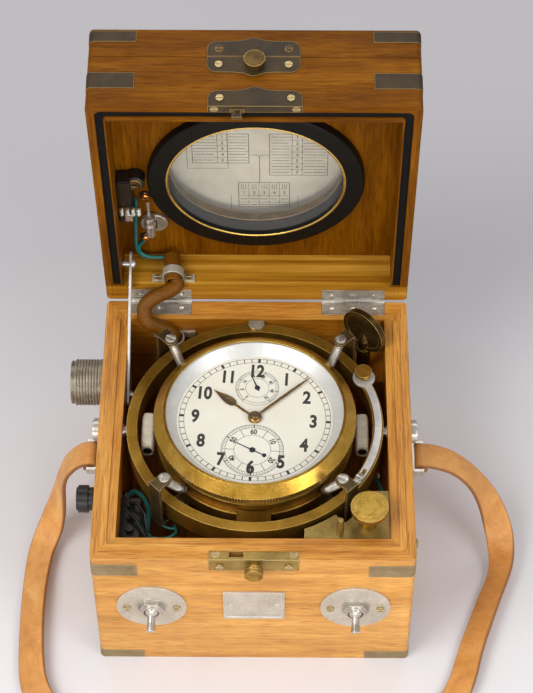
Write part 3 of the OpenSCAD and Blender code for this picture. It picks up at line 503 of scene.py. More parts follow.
def woven(name, dark, light, pitch, rough, depth, sheen):
    """Cloth: two crossing sets of threads."""
    dark, light = map(tone, (dark, light))
    look = Look(name)
    sets = []
    for direction in ("X", "Y", "Z"):
        wave = look.add("ShaderNodeTexWave", wave_type="BANDS", bands_direction=direction)
        wave.inputs["Scale"].default_value = 0.314 / pitch / 2
        wave.inputs["Distortion"].default_value = 0.8
        wave.inputs["Detail"].default_value = 1.5
        look.link(look.place, wave.inputs["Vector"])
        sets.append(wave.outputs["Fac"])
    weave = look.math("MULTIPLY", look.math("MULTIPLY", sets[0], sets[1]), sets[2])
    weave = look.math("POWER", weave, 0.4)
    cloud = look.noise(90, 5, 0.6)
    threads = look.ramp(weave, (0.1, dark), (0.75, light))
    look.colour(look.mix("MIX", threads, look.ramp(cloud, (0.3, dark), (0.7, light)), 0.45))
    look.rough(weave, rough, rough + 0.12)
    look.bump(weave, 0.6, depth)
    look.set(Sheen_Weight=sheen, Sheen_Roughness=0.5, Specular_IOR_Level=0.2)
    return look.mat


def leather(name, dark, mid, light, edge_colour):
    """Worn strap leather; the UV's first number runs across the strap, and the edges are darker."""
    dark, mid, light, edge_colour = map(tone, (dark, mid, light, edge_colour))
    look = Look(name)
    cloud = look.noise(45, 6, 0.62, twist=0.5)
    cells = look.add("ShaderNodeTexVoronoi", feature="DISTANCE_TO_EDGE")
    cells.inputs["Scale"].default_value = 1100
    look.link(look.place, cells.inputs["Vector"])
    grain = look.ramp(cells.outputs["Distance"], (0.0, 0.0), (0.22, 1.0))
    creases = look.noise(1.0, 5, 0.6, look.mapped((260, 260, 260)), twist=1.5)
    base = look.ramp(cloud, (0.28, dark), (0.5, mid), (0.72, light))
    base = look.mix("MULTIPLY", base, look.ramp(creases, (0.32, 0.76), (0.5, 1.0)), 0.6)
    base = look.mix("MULTIPLY", base, look.ramp(grain, (0.0, 0.86), (0.6, 1.0)), 0.5)
    uv = look.add("ShaderNodeUVMap")
    uv.uv_map = "across"
    across = look.axes(uv.outputs[0])[0]
    off = look.math("ABSOLUTE", look.math("SUBTRACT", across, 0.5))
    base = look.mix("MIX", base, edge_colour, look.ramp(off, (0.44, 0.0), (0.5, 0.85)))
    look.colour(base)
    look.rough(cloud, 0.42, 0.62)
    look.bump(look.math("ADD", grain, look.math("MULTIPLY", creases, 1.5)), 0.3, 0.00025)
    look.set(Coat_Weight=0.12, Coat_Roughness=0.35)
    return look.mat


def backdrop():
    """A pale grey sheet, with painted shade that darkens it towards the back."""
    look = Look("floor")
    y = look.axes()[1]
    away = look.add("ShaderNodeMapRange")
    away.inputs["From Min"].default_value = -0.3
    away.inputs["From Max"].default_value = 0.9
    look.link(y, away.inputs[0])
    # painted shade: the sheet's colour falls off towards the back as the light would
    tint = look.ramp(away.outputs[0], (0.0, tone((238, 236, 238))), (0.45, tone((192, 190, 194))),
                     (1.0, tone((186, 184, 188))))
    look.colour(look.mix("MULTIPLY", tint, look.ramp(look.noise(6, 4, 0.6), (0.3, 0.985), (0.7, 1.0))))
    look.rough(look.noise(30), 0.6, 0.7)
    return look.mat


# ------------------------------------------------------------------ materials
# painted shade: the lid and the outer lid use darker copies of the case's oak; INNER holds the paler tones of
# the band on the lid's back wall
INNER = ((136, 86, 14), (168, 116, 30), (190, 140, 52))
OAK = wood("oak_case", (186, 126, 54), (214, 154, 74), (232, 176, 96))
OAK_LID_SHADED = wood("oak_lid_painted_shade", (98, 54, 1), (120, 70, 2), (142, 88, 8), lid=True, coat=0.0, panel=True,
               inner=INNER)
OAK_OUTER_SHADED = wood("oak_outer_painted_shade", (96, 53, 1), (118, 69, 2), (142, 88, 8), lid=True, coat=0.0, inner=INNER)
STRAP_BRONZE = metal("strap_bronze", (124, 106, 72), (150, 130, 94), (166, 146, 108), (0.42, 0.56), 60,
                     metallic=0.6, edge_highlight=(206, 186, 140))
LID_BRONZE = metal("lid_bronze", (40, 28, 6), (54, 39, 11), (70, 53, 20), (0.5, 0.64), 60,
                   metallic=0.15, edge_highlight=(186, 150, 84))
DARK_BRONZE = metal("dark_bronze", (66, 48, 20), (92, 70, 32), (118, 92, 46), (0.3, 0.46), 120,
                    metallic=0.8, stain=0.12, edge_highlight=(226, 190, 110))
LOCK_BRASS = metal("lock_brass", (134, 110, 56), (158, 132, 70), (180, 154, 88), (0.3, 0.46), 70,
                   metallic=0.75, stain=0.08, edge_highlight=(240, 214, 150))
KNOB_BRONZE = metal("knob_bronze", (132, 102, 36), (164, 130, 54), (192, 158, 78), (0.2, 0.36), 140,
                    metallic=0.9, stain=0.1, edge_highlight=(240, 200, 130))
RING_BRASS = metal("ring_brass", (134, 98, 30), (160, 120, 40), (184, 142, 56), (0.26, 0.4), 40,
                   metallic=0.8, edge_highlight=(244, 210, 120))
BEZEL_BRASS = metal("bezel_brass", (170, 126, 40), (196, 150, 56), (216, 174, 84), (0.2, 0.32), 60,
                    metallic=0.85, edge_highlight=(250, 222, 140))
BOWL_BRASS = metal("bowl_brass", (116, 84, 28), (142, 106, 38), (166, 128, 54), (0.28, 0.44), 60,
                   metallic=0.8, stain=0.08)
GOLD = metal("gilt", (104, 76, 22), (146, 110, 36), (190, 152, 70), (0.18, 0.32), 400, bump=0.05)
NICKEL = metal("nickel", (168, 162, 150), (196, 190, 178), (218, 213, 204), (0.24, 0.4), 160,
               metallic=0.85, stain=0.06, edge_highlight=(244, 242, 236))
STEEL = metal("steel", (206, 206, 204), (224, 224, 222), (238, 238, 236), (0.26, 0.38), 120,
              metallic=0.6, bump=0.05, edge_highlight=(252, 252, 250))
THREAD_GREY = metal("thread_grey", (100, 90, 74), (134, 124, 106), (160, 150, 132), (0.36, 0.54), 160,
                    metallic=0.7, stain=0.15, edge_highlight=(206, 198, 180))
ALU = metal("plate_alu", (184, 177, 162), (198, 191, 176), (212, 206, 192), (0.36, 0.48), 60,
            metallic=0.55, edge_highlight=(240, 238, 230))
STRIP_DARK = metal("strip_dark", (70, 56, 32), (98, 80, 48), (126, 106, 68), (0.3, 0.46), 90,
                   metallic=0.8, edge_highlight=(216, 196, 150))
SCREW_BRASS = metal("screw_brass", (140, 118, 74), (170, 148, 98), (196, 176, 128), (0.26, 0.42), 200,
                    metallic=0.8, stain=0.1, edge_highlight=(232, 214, 170))
COPPER = metal("copper", (170, 96, 36), (206, 128, 56), (230, 158, 84), (0.2, 0.34), 300,
               edge_highlight=(250, 200, 140))
BLUED = metal("blued_steel", (18, 20, 40), (26, 30, 62), (40, 48, 96), (0.18, 0.3), 300, bump=0.03)
SILVER = metal("dial_surround", (214, 214, 210), (226, 226, 222), (236, 236, 232), (0.3, 0.4), 30,
               metallic=0.35, bump=0.02)
BLACK_PAINT = plain("black_paint", (6, 6, 4), (11, 10, 7), (0.4, 0.55), 90, 0.06, 0.0002, edge=0.0006,
                    shine=0.2)
BLACK = plain("black_plastic", (14, 13, 11), (28, 26, 22), (0.3, 0.46), 160, 0.12, 0.0002, edge=0.0004)
RUBBER = plain("gasket_rubber", (11, 11, 9), (22, 20, 17), (0.6, 0.8), 260, 0.3, 0.0003, shine=0.1)
TEAL = plain("wire_teal", (16, 92, 88), (36, 128, 118), (0.35, 0.5), 160, 0.1, 0.0002)
DIAL_WHITE = plain("dial_enamel", (243, 239, 222), (250, 246, 232), (0.34, 0.46), 40, 0.04, 0.0001)
INK = plain("dial_ink", (26, 22, 18), (44, 38, 30), (0.45, 0.6), 300, 0.05, 0.0001)
CARD = plain("card", (186, 178, 156), (206, 199, 180), (0.6, 0.75), 60, 0.12, 0.0002)
CARD_INK = plain("card_ink", (64, 60, 54), (96, 90, 80), (0.6, 0.75), 300, 0.1, 0.0001)
WHITE_STRIP = plain("white_strip", (232, 230, 224), (244, 243, 238), (0.4, 0.55), 60, 0.05, 0.0001)
CRYSTAL = glass("crystal_glass", (0.93, 0.96, 0.95, 1), 0.03, 0.6)
WINDOW = glass("window_glass", (0.9, 0.92, 0.88, 1), 0.05, 0.6)
LEATHER = leather("strap_leather", (192, 126, 56), (216, 150, 76), (232, 174, 100), (124, 76, 34))
SLEEVE = woven("cable_cloth", (94, 54, 4), (126, 78, 10), 0.0007, 0.42, 0.00006, 0.0)
PAD = woven("pad_cloth", (206, 194, 168), (238, 230, 212), 0.0007, 0.82, 0.00015, 0.3)
FLOOR = backdrop()

SKINS = {
    OAK: "case_box",
    STRAP_BRONZE: "case_straps",
    LOCK_BRASS: "lower_lock_plate corner_plate",
    SCREW_BRASS: "case_screws lid_screws",
    ALU: "switch_plates nameplate case_clamp lid_clamp",
    NICKEL: "switch_bushings gimbal_bearings strap_lugs hinge_leaves_case toggle_left "
            "toggle_right lamp_holder hinge_leaves_lid ring_pivots strut_springs",
    THREAD_GREY: "connector_shell",
    BLACK: "connector_insert fuse_base terminal_block fuse_cap",
    LEATHER: "carry_strap",
    SLEEVE: "cable_sleeve",
    KNOB_BRONZE: "lower_lock_knob stop_knob",
    DARK_BRONZE: "winding_key upper_lock_knob",
    OAK_LID_SHADED: "lid_frame",
    BLACK_PAINT: "window_ring",
    WINDOW: "window_glass",
    RUBBER: "lid_gasket",
    LID_BRONZE: "lid_fittings outer_fittings",
    TEAL: "lid_wires",
    OAK_OUTER_SHADED: "outer_lid",
    CARD: "diagram_card",
    STEEL: "stay_arm lock_arc",
    RING_BRASS: "gimbal_ring",
    BEZEL_BRASS: "thumb_knob bezel",
    BOWL_BRASS: "bowl_shell movement_plates fusee barrel",
    CRYSTAL: "crystal",
    DIAL_WHITE: "dial",
    SILVER: "rehaut",
    STRIP_DARK: "spring_arms",
    PAD: "side_pads",
    GOLD: "centre_wheel balance hour_hand minute_hand",
    BLUED: "seconds_hand updown_hand",
}
for skin, names in SKINS.items():
    for node_name in names.split():
        dress(node_name, skin)


# ------------------------------------------------------------------ camera
def make_camera():
    tilt, yaw, roll = math.radians(51.515), math.radians(0.791), math.radians(-0.333)
    ahead = Vector((0, math.cos(tilt), -math.sin(tilt)))
    up = Vector((0, math.sin(tilt), math.cos(tilt)))
    right = Vector((1, 0, 0))
    spin = Matrix.Rotation(yaw, 3, "Z")
    ahead, up, right = spin @ ahead, spin @ up, spin @ right
    c, s = math.cos(roll), math.sin(roll)
    right, up = c * right + s * up, c * up - s * right
    data = bpy.data.cameras.new("camera")
    data.lens = 112.18
    data.sensor_width = 36
    cam = bpy.data.objects.new("camera", data)
    place = Matrix((right, up, -ahead)).transposed().to_4x4()
    place.translation = (0.018663, -0.803665, 1.204621)
    cam.matrix_world = place
    bpy.context.scene.collection.objects.link(cam)
    bpy.context.scene.camera = cam


make_camera()


# ------------------------------------------------------------------ carrying strap
STRAP_W, STRAP_T = 18.0, 3.0
# each row: place, heading about Z, slope, lean
STRAP_ROWS = [
    (-106.0, 1.2, 80.8, 180, 0, 0), (-110.5, 1.2, 79.6, 180, 26, 0), (-116.0, 1.0, 75.0, 180, 48, 0),
    (-121.5, 0.5, 67.0, 182, 64, 0), (-125.0, 0.0, 56.0, 188, 78, 0), (-127.5, -1.0, 42.0, 200, 80, 0),
    (-130.5, -3.5, 28.0, 215, 70, 0), (-134.5, -8.5, 16.0, 232, 50, 0), (-139.0, -17.0, 8.0, 248, 24, 8),
    (-142.0, -30.0, 6.0, 258, 6, 18), (-143.5, -60.0, 6.6, 266, 0, 28), (-142.5, -95.0, 6.6, 272, 0, 28),
    (-139.0, -122.0, 5.4, 280, 0, 20), (-130.0, -139.0, 3.6, 304, 0, 10), (-113.0, -151.0, 2.0, 330, 0, 2),
    (-90.0, -157.0, 1.6, 350, 0, 0), (-50.0, -160.0, 1.6, 358, 0, 0), (0.0, -160.5, 1.6, 360, 0, 0),
    (50.0, -159.0, 1.6, 363, 0, 0), (86.0, -155.0, 1.6, 372, 0, 0), (109.0, -147.0, 2.0, 392, 0, -4),
    (124.0, -134.0, 3.4, 414, 0, -12), (132.0, -118.0, 5.4, 428, 0, -24), (139.0, -95.0, 6.8, 432, 0, -32),
    (151.0, -62.0, 7.2, 426, 0, -36), (160.0, -38.0, 9.0, 442, -10, -38), (160.5, -20.0, 16.0, 464, -38, -24),
    (156.0, -9.0, 29.0, 488, -60, -8), (149.0, -3.0, 44.0, 510, -62, 0), (139.0, 0.0, 60.0, 532, -55, 0),
    (127.0, 1.2, 72.5, 540, -42, 0), (115.0, 1.2, 79.2, 540, -18, 0), (106.0, 1.2, 80.8, 540, 0, 0),
]


def strap_section(half_w, half_t, corner=0.9, steps=3):
    """The strap's section: a flat bar with round corners."""
    points = []
    for sx, sy, start in ((1, 1, 0), (-1, 1, 90), (-1, -1, 180), (1, -1, 270)):
        for i in range(steps + 1):
            a = math.radians(start + 90 * i / steps)
            u = sx * (half_w - corner) + corner * math.cos(a)
            points.append((u, sy * (half_t - corner) + corner * math.sin(a)))
    return points


def make_strap():
    places = curve_points([r[:3] for r in STRAP_ROWS], 6)
    angles = curve_points([r[3:] for r in STRAP_ROWS], 6)
    section = strap_section(STRAP_W / 2, STRAP_T / 2 - 0.05)
    n = len(section)
    verts, faces = [], []
    for p, a in zip(places, angles):
        spin = (Matrix.Rotation(math.radians(a[0]), 3, "Z") @ Matrix.Rotation(math.radians(a[1]), 3, "Y")
                @ Matrix.Rotation(math.radians(a[2]), 3, "X"))
        for u, v in section:
            w = p + spin @ Vector((0, u, v))
            verts.append((w.x, w.y, max(w.z, 0.1)))
    rows = len(places)
    for i in range(rows - 1):
        for k in range(n):
            m = (k + 1) % n
            faces.append((i * n + k, i * n + m, (i + 1) * n + m, (i + 1) * n + k))
    faces.append(tuple(range(n)))
    faces.append(tuple(range((rows - 1) * n, rows * n)))
    strap = make("leather_strap", verts, faces, smooth=True)
    layer = strap.data.uv_layers.new(name="across")
    for loop in strap.data.loops:
        u = section[loop.vertex_index % n][0] / STRAP_W + 0.5
        layer.data[loop.index].uv = (u, loop.vertex_index // n / rows)
    loops = []
    for side in (-1, 1):
        profile = [(1.35, -8.9), (4.0, -8.9), (4.1, -8.6), (4.1, 8.6), (4.0, 8.9), (1.35, 8.9)]
        loop = lathe("strap_loop", profile, move(side * LUG_X, LUG_Y, LUG_Z) @ TO_FRONT, 40)
        uv = loop.data.uv_layers.new(name="across")
        for corner in loop.data.loops:
            y = loop.data.vertices[corner.vertex_index].co.y / MM - LUG_Y
            uv.data[corner.index].uv = (y / STRAP_W + 0.5, 0)
        loops.append(loop)
    dress(strap, LEATHER)
    loops = join("strap_loops", loops)
    dress(loops, LEATHER)
    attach(strap, "case")
    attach(loops, "case")
    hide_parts("carry_strap")


make_strap()


# ------------------------------------------------------------------ dial
def dial_ring(objs, at_y, r0, r1):
    low, high = DIAL_Z + 0.01, DIAL_Z + 0.05
    profile = [(r0, low), (r1, low), (r1, high), (r0, high)]
    objs.append(lathe("ring", profile, DIAL @ move(0, at_y, 0), 120))


def dial_tick(objs, at_y, deg, r0, r1, width):
    half = width / 2
    outline = [(-half, r0), (half, r0), (half, r1), (-half, r1)]
    objs.append(prism("tick", outline, DIAL_Z + 0.01, DIAL_Z + 0.06, DIAL @ move(0, at_y, 0) @ turn_z(-deg)))


def make_dial_print():
    objs = []
    dial_ring(objs, 0, 44.3, 44.55)
    dial_ring(objs, 0, 47.3, 47.55)
    for i in range(60):
        dial_tick(objs, 0, 6 * i, 44.4, 47.4, 1.7 if i % 5 == 0 else 0.5)
    for hour in range(1, 13):
        a = math.radians(30 * hour)
        r = 37.0 if hour != 12 else 37.8
        objs.append(figure(str(hour), 9.5, r * math.sin(a) - 0.4, r * math.cos(a), DIAL_Z + 0.03, DIAL, 0.76,
                           0.5))
    # seconds dial
    for r in (19.3, 16.9, 11.3):
        dial_ring(objs, -SUB_R, r, r + 0.22)
    for i in range(120):
        dial_tick(objs, -SUB_R, 3 * i, 18.2 if i % 2 else 17.0, 19.4, 0.24)
    for i in range(6):
        dial_tick(objs, -SUB_R, 60 * i, 16.9, 19.4, 0.7)
        dial_tick(objs, -SUB_R, 60 * i + 30, 11.3, 17.0, 0.3)
    for i, text in enumerate(("60", "10", "20", "30", "40", "50")):
        a = math.radians(60 * i)
        turn = 0 if text == "30" else -60 * i
        objs.append(figure(text, 3.7, 14.1 * math.sin(a), -SUB_R + 14.1 * math.cos(a), DIAL_Z + 0.03, DIAL,
                           0.8, 0.16, turn))
    # up-and-down dial
    for r in (13.5, 11.7, 7.3):
        dial_ring(objs, SUB_R, r, r + 0.2)
    for i in range(57):
        deg = -140 + 5 * i
        dial_tick(objs, SUB_R, deg, 11.7 if i % 8 == 0 else 12.4, 13.6, 0.5 if i % 8 == 0 else 0.2)
    for i in range(0, 57, 8):
        a = math.radians(-140 + 5 * i)
        objs.append(figure(str(i), 2.4, 9.6 * math.sin(a), SUB_R + 9.6 * math.cos(a), DIAL_Z + 0.03, DIAL,
                           0.8, 0.08, 140 - 5 * i))
    ink = join("dial_print", objs)
    settle(ink, INK, "bowl")


make_dial_print()


def hand_blade(name, stations, z0, z1, place):
    """A hand with a low ridge along its middle. stations are (distance, half width)."""
    verts, faces = [], []
    for d, w in stations:
        verts += [(-w, d, z0), (w, d, z0), (w, d, z1 - 0.2), (0, d, z1), (-w, d, z1 - 0.2)]
    for i in range(len(stations) - 1):
        for k in range(5):
            m = (k + 1) % 5
            faces.append((5 * i + k, 5 * i + m, 5 * i + 5 + m, 5 * i + 5 + k))
    faces.append((0, 1, 2, 3, 4))
    last = 5 * (len(stations) - 1)
    faces.append((last + 4, last + 3, last + 2, last + 1, last))
    return make(name, verts, faces, place)


def make_hands():
    # hour hand: a long leaf, pointing towards 10
    leaf = [(2.5, 0.85), (10, 0.75), (15, 0.8)]
    for i in range(12):
        t = i / 11
        leaf.append((16 + 15 * t, 0.75 + 2.3 * math.sin(math.pi * t ** 0.62)))
    leaf += [(32, 0.6), (34, 0.12)]
    blade = hand_blade("blade", leaf, DIAL_Z + 0.7, DIAL_Z + 1.3, DIAL @ turn_z(53))
    hub = lathe("hub", [(1.7, 0.7), (4.2, 0.7), (4.3, 0.9), (4.0, 1.35), (1.7, 1.45)],
                DIAL @ move(0, 0, DIAL_Z), 48)
    hour = join("hour_hand_leaf", [blade, hub])
    settle(hour, GOLD, "hour", "hour_hand")
    # minute hand: long and thin, with a domed hub and cap screw
    long = [(3, 0.85), (14, 0.9), (30, 1.0), (38, 0.75), (44, 0.4), (46.6, 0.1)]
    blade = hand_blade("blade", long, DIAL_Z + 1.9, DIAL_Z + 2.45, DIAL @ turn_z(-45))
    dome = [(1.55, 1.7), (4.3, 1.7), (4.4, 2.2), (4.1, 2.8), (3.2, 3.3), (2.2, 3.45), (2.1, 3.9), (1.5, 4.15),
            (0, 4.2), (0, 2.8), (1.55, 2.7)]
    hub = lathe("hub", dome, DIAL @ move(0, 0, DIAL_Z), 56, closed=False)
    minute = join("minute_hand_blade", [blade, hub])
    settle(minute, GOLD, "minute", "minute_hand")
    # seconds hand, blued, with a round counterweight
    thin = [(-8, 0.32), (0, 0.4), (10, 0.3), (15.6, 0.1)]
    place = DIAL @ move(0, -SUB_R, 0) @ turn_z(64)
    blade = hand_blade("blade", thin, DIAL_Z + 0.15, DIAL_Z + 0.5, place)
    hub = solid_lathe("hub", [(1.9, 0.1), (1.9, 0.45), (1.3, 0.7), (0, 0.8)], DIAL @ move(0, -SUB_R, DIAL_Z),
                      32)
    weight = solid_lathe("weight", [(1.35, 0.12), (1.35, 0.5), (0, 0.55)], place @ move(0, -8.4, DIAL_Z), 28)
    seconds = join("seconds_hand_blade", [blade, hub, weight])
    settle(seconds, BLUED, "seconds", "seconds_hand")
    # up-and-down hand
    place = DIAL @ move(0, SUB_R, 0) @ turn_z(24)
    blade = hand_blade("blade", [(-2.6, 0.5), (0, 0.6), (5, 0.4), (9.6, 0.1)], DIAL_Z + 0.15, DIAL_Z + 0.5,
                       place)
    hub = solid_lathe("hub", [(1.7, 0.1), (1.7, 0.45), (1.2, 0.7), (0, 0.8)], DIAL @ move(0, SUB_R, DIAL_Z),
                      32)
    reserve = join("reserve_hand_blade", [blade, hub])
    settle(reserve, BLUED, "updown", "updown_hand")


make_hands()


# ------------------------------------------------------------------ bezel and struts
def make_bezel_milling():
    """The fine milled band round the bezel."""
    teeth, r0, r1, z0, z1 = 220, 62.9, 63.45, 118.3, 122.1
    verts, faces = [], []
    for i in range(teeth * 2):
        a = math.pi * i / teeth
        r = r1 if i % 2 else r0
        for z in (z0, z1):
            verts.append((r * math.cos(a), r * math.sin(a), z))
        for z in (z1, z0):
            verts.append((62.0 * math.cos(a), 62.0 * math.sin(a), z))
    n = teeth * 2
    for i in range(n):
        j = (i + 1) % n
        for k in range(4):
            m = (k + 1) % 4
            faces.append((4 * i + k, 4 * j + k, 4 * j + m, 4 * i + m))
    band = make("bezel_milling", verts, faces, GIMBAL)
    settle(band, BEZEL_BRASS, "bowl")


make_bezel_milling()


def helix(name, radius, wire, turns, length, place, sides=8, per_turn=28):
    """A coil spring along +Z."""
    points = []
    for i in range(int(turns * per_turn) + 1):
        a = 2 * math.pi * i / per_turn
        points.append((radius * math.cos(a), radius * math.sin(a), length * i / (turns * per_turn)))
    return tube(name, points, wire, place, sides, 1)


def aim(start, end):
    """A matrix that puts +Z along the line from start to end, both in millimetres."""
    start, end = Vector(start), Vector(end)
    return move(*start) @ (end - start).to_track_quat("Z", "Y").to_matrix().to_4x4()


def make_struts():
    low, high = Vector((63.6, 0, 106.8)), Vector((76.3, 0, 128.6))
    span = (high - low).length
    objs = []
    for deg in (45, 135, 225, 315):
        place = GIMBAL @ turn_z(deg)
        line = place @ aim(low, high)
        objs.append(solid_lathe("core", [(2.1, 0), (2.1, span)], line, 24))
        objs.append(solid_lathe("foot", [(3.1, 0), (3.2, 0.5), (3.2, 2.6), (2.7, 3.2)], line, 6))
        objs.append(helix("coil", 2.4, 0.46, (span - 5.6) / 0.95, span - 5.6, line @ move(0, 0, 3.0), 6, 24))
        objs.append(solid_lathe("collar", [(2.7, 0), (3.0, 0.4), (3.0, 2.2), (2.4, 2.8)],
                                line @ move(0, 0, span - 3.0), 32))
        head = [(3.2, 0), (3.6, 0.4), (3.6, 1.2), (3.3, 1.9), (2.2, 2.4), (0, 2.6)]
        top = solid_lathe("head", head, place @ move(76.5, 0, 130.9), 40)
        cut_slot(top, place @ move(76.5, 0, 133.7) @ turn_z(20), 4.2, 0.45, 1.2)
        objs.append(top)
        objs.append(solid_lathe("stem", [(2.3, 126.5), (2.3, 131.0)], place @ move(76.5, 0, 0), 24))
        objs.append(block("shoe", (60.3, -3, 104.4), (64.6, 3, 108.2), 0.8, place, 2))
    struts = join("spring_struts", objs)
    settle(struts, NICKEL, "bowl", "strut_springs")


def cut_slot(obj, place, half_l, half_w, depth):
    """Cuts a screwdriver slot; place is on top of the head, in metres."""
    tool = prism("tool", [(-half_l, -half_w), (half_l, -half_w), (half_l, half_w), (-half_l, half_w)],
                 -depth, 2, place)
    boolean = obj.modifiers.new("slot", "BOOLEAN")
    boolean.object = tool
    boolean.solver = "EXACT"
    mesh = bpy.data.meshes.new_from_object(obj.evaluated_get(bpy.context.evaluated_depsgraph_get()))
    obj.modifiers.clear()
    old = obj.data
    obj.data = mesh
    bpy.data.meshes.remove(old)
    bpy.data.objects.remove(tool)
    soften(obj, 35)


make_struts()


# ------------------------------------------------------------------ cables
def make_sleeve():
    """The cloth-covered cable: a short upper length in the lid's clip, and the long lower loop."""
    upper = tube("upper", [(-55.6, 119, 138.0), (-54.6, 110, 137.05), (-54.2, 103.4, 136.35)], 5.35,
                 sides=32, per=8)
    mouth = aim((-54.2, 103.4, 136.35), (-54.2, 98.4, 135.83))
    lip = lathe("lip", [(3.3, 0.2), (5.35, -0.1), (5.4, 3.8), (5.1, 4.7), (4.4, 5.1), (3.6, 4.7),
                        (3.3, 3.8)], mouth, 36)
    route = [(-51.6, 101.6, 134.2), (-52.3, 98.2, 132.9), (-56.5, 95.0, 132.0), (-62.0, 92.4, 131.2),
             (-68, 90, 129), (-72.4, 86.6, 125.4), (-72.2, 82.2, 121.2), (-69.6, 79.6, 118.0),
             (-64.5, 79.3, 114.6), (-58.5, 79.35, 110.8), (-54.8, 79.35, 106.6), (-54, 79.35, 99),
             (-54, 79.35, 84.2)]
    lower = tube("lower", route, 4.9, sides=32, per=10)
    sleeve = join("cable_sleeve_cloth", [upper, lip, lower])
    dress(sleeve, SLEEVE)
    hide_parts("cable_sleeve")
    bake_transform(sleeve)


make_sleeve()


# ------------------------------------------------------------------ lamp and wires inside the lid
def put(objs, obj, mat):
    dress(obj, mat)
    objs.append(obj)


def make_lamp():
    objs = []
    # a black tray by the side wall, and partly painted shade: its black also fills the shadow along that wall
    put(objs, block("tray_and_wall_shade", (-86.8, -6, 130.6), (-77.5, 36, 141.4), 0.8, LID), BLACK)
    put(objs, solid_lathe("cap", [(5.6, 133.2), (6.3, 134.0), (6.3, 141.4)], LID @ move(-75.4, -1, 0), 40),
        BLACK)
    put(objs, lathe("cap_ring", [(2.2, 132.6), (4.4, 132.6), (4.6, 133.3), (2.2, 133.3)],
                    LID @ move(-75.4, -1, 0), 40), DARK_BRONZE)
    for i in range(4):
        put(objs, helix("spring", 1.25, 0.3, 9, 6.5, LID @ move(-84.6 + 3.6 * i, 19.0, 129.6) @ TO_BACK, 6,
                        16), NICKEL)
        put(objs, solid_lathe("pin", [(0.85, 0), (0.85, 8.5)],
                              LID @ move(-84.6 + 3.6 * i, 18.0, 129.6) @ TO_BACK, 16), COPPER)
    put(objs, block("bright_leaf", (-82.6, 26.5, 129.5), (-77.8, 33, 130.7), 0.4, LID), NICKEL)
    # contact screws
    for x, y in ((-70, 20), (-72, 65)):
        screw = solid_lathe("contact_screw", [(1.6, 138.2), (2.4, 138.8), (2.4, 141.5)], LID @ move(x, y, 0),
                            28)
        cut_slot(screw, LID @ move(x, y, 138.2) @ OVER @ turn_z(35), 3, 0.3, 0.6)
        put(objs, screw, COPPER)
        put(objs, lathe("washer", [(2.3, 140.6), (3.7, 140.6), (3.7, 141.4), (2.3, 141.4)],
                        LID @ move(x, y, 0), 28), BLACK)
    # link chain
    for i in range(8):
        ring = []
        for k in range(17):
            a = 2 * math.pi * k / 16
            ring.append((0.85 * math.cos(a), 1.25 * math.sin(a), 0))
        turn = Matrix.Rotation(math.pi / 2 * (i % 2), 4, "Y")
        put(objs, tube("link", ring, 0.27, LID @ move(-68.5, 25 + 1.75 * i, 137.6) @ turn, 6, 1), NICKEL)
    # lamp socket lying along the lid
    along = LID @ move(-68, 37, 136.2) @ TO_BACK
    socket = [(3.2, 0), (3.4, 0.5), (3.4, 5.4), (2.7, 5.8), (2.7, 7.4), (3.7, 7.8), (3.7, 12.6), (3.2, 13.2),
              (3.2, 18.8), (2.4, 19.7)]
    put(objs, solid_lathe("socket", socket, along, 40), NICKEL)
    put(objs, block("socket_foot", (-70.6, 41.5, 137.2), (-65.4, 50.5, 141.4), 0.5, LID), DARK_BRONZE)
    base = solid_lathe("base", [(8.2, 138.7), (8.9, 139.4), (8.9, 141.4)], LID @ move(-65.6, 48, 0), 56)
    put(objs, base, NICKEL)
    # painted shade: a black block stands for the dark inside of the slot in the base
    put(objs, block("base_slot_shade", (-66.6, 43.5, 138.5), (-63.2, 52.5, 139.3), 0.3, LID), BLACK)
    lamp = join("lamp_fitting", objs)
    settle(lamp, None, "lid", "lamp_holder")
    wires = []
    first = [(-76.2, 21, 138.6), (-76.4, 30, 138.9), (-77.6, 54, 139.0), (-78.3, 70, 139.0),
             (-78.0, 77, 138.9), (-75.4, 82.4, 138.4), (-70, 84.0, 138.0), (-60.8, 82.2, 137.0)]
    second = [(-72.6, 67.4, 139.6), (-75, 70.6, 139.6), (-76.8, 74, 139.2), (-76.2, 78.6, 138.2),
              (-73.0, 81.2, 137.2), (-68, 82.0, 136.4), (-60.8, 80.6, 135.6)]
    for line in (first, second):
        wires.append(tube("wire", line, 1.15, LID, 14, 8))
    settle(join("lid_wire_pair", wires), TEAL, "lid", "lid_wires")


make_lamp()


# ------------------------------------------------------------------ window rings and the card's print
def make_window_trim():
    inner = lathe("window_liner", [(54.05, 146.4), (54.45, 146.4), (54.45, 152.3), (54.05, 152.3)], LID, 120)
    dress(inner, DARK_BRONZE)
    line = lathe("window_bead", [(54.5, 135.3), (55.3, 134.8), (56.1, 135.1), (55.4, 135.6)], LID, 120)
    dress(line, BEZEL_BRASS)
    trim = join("window_trim", [inner, line])
    settle(trim, None, "lid")


make_window_trim()


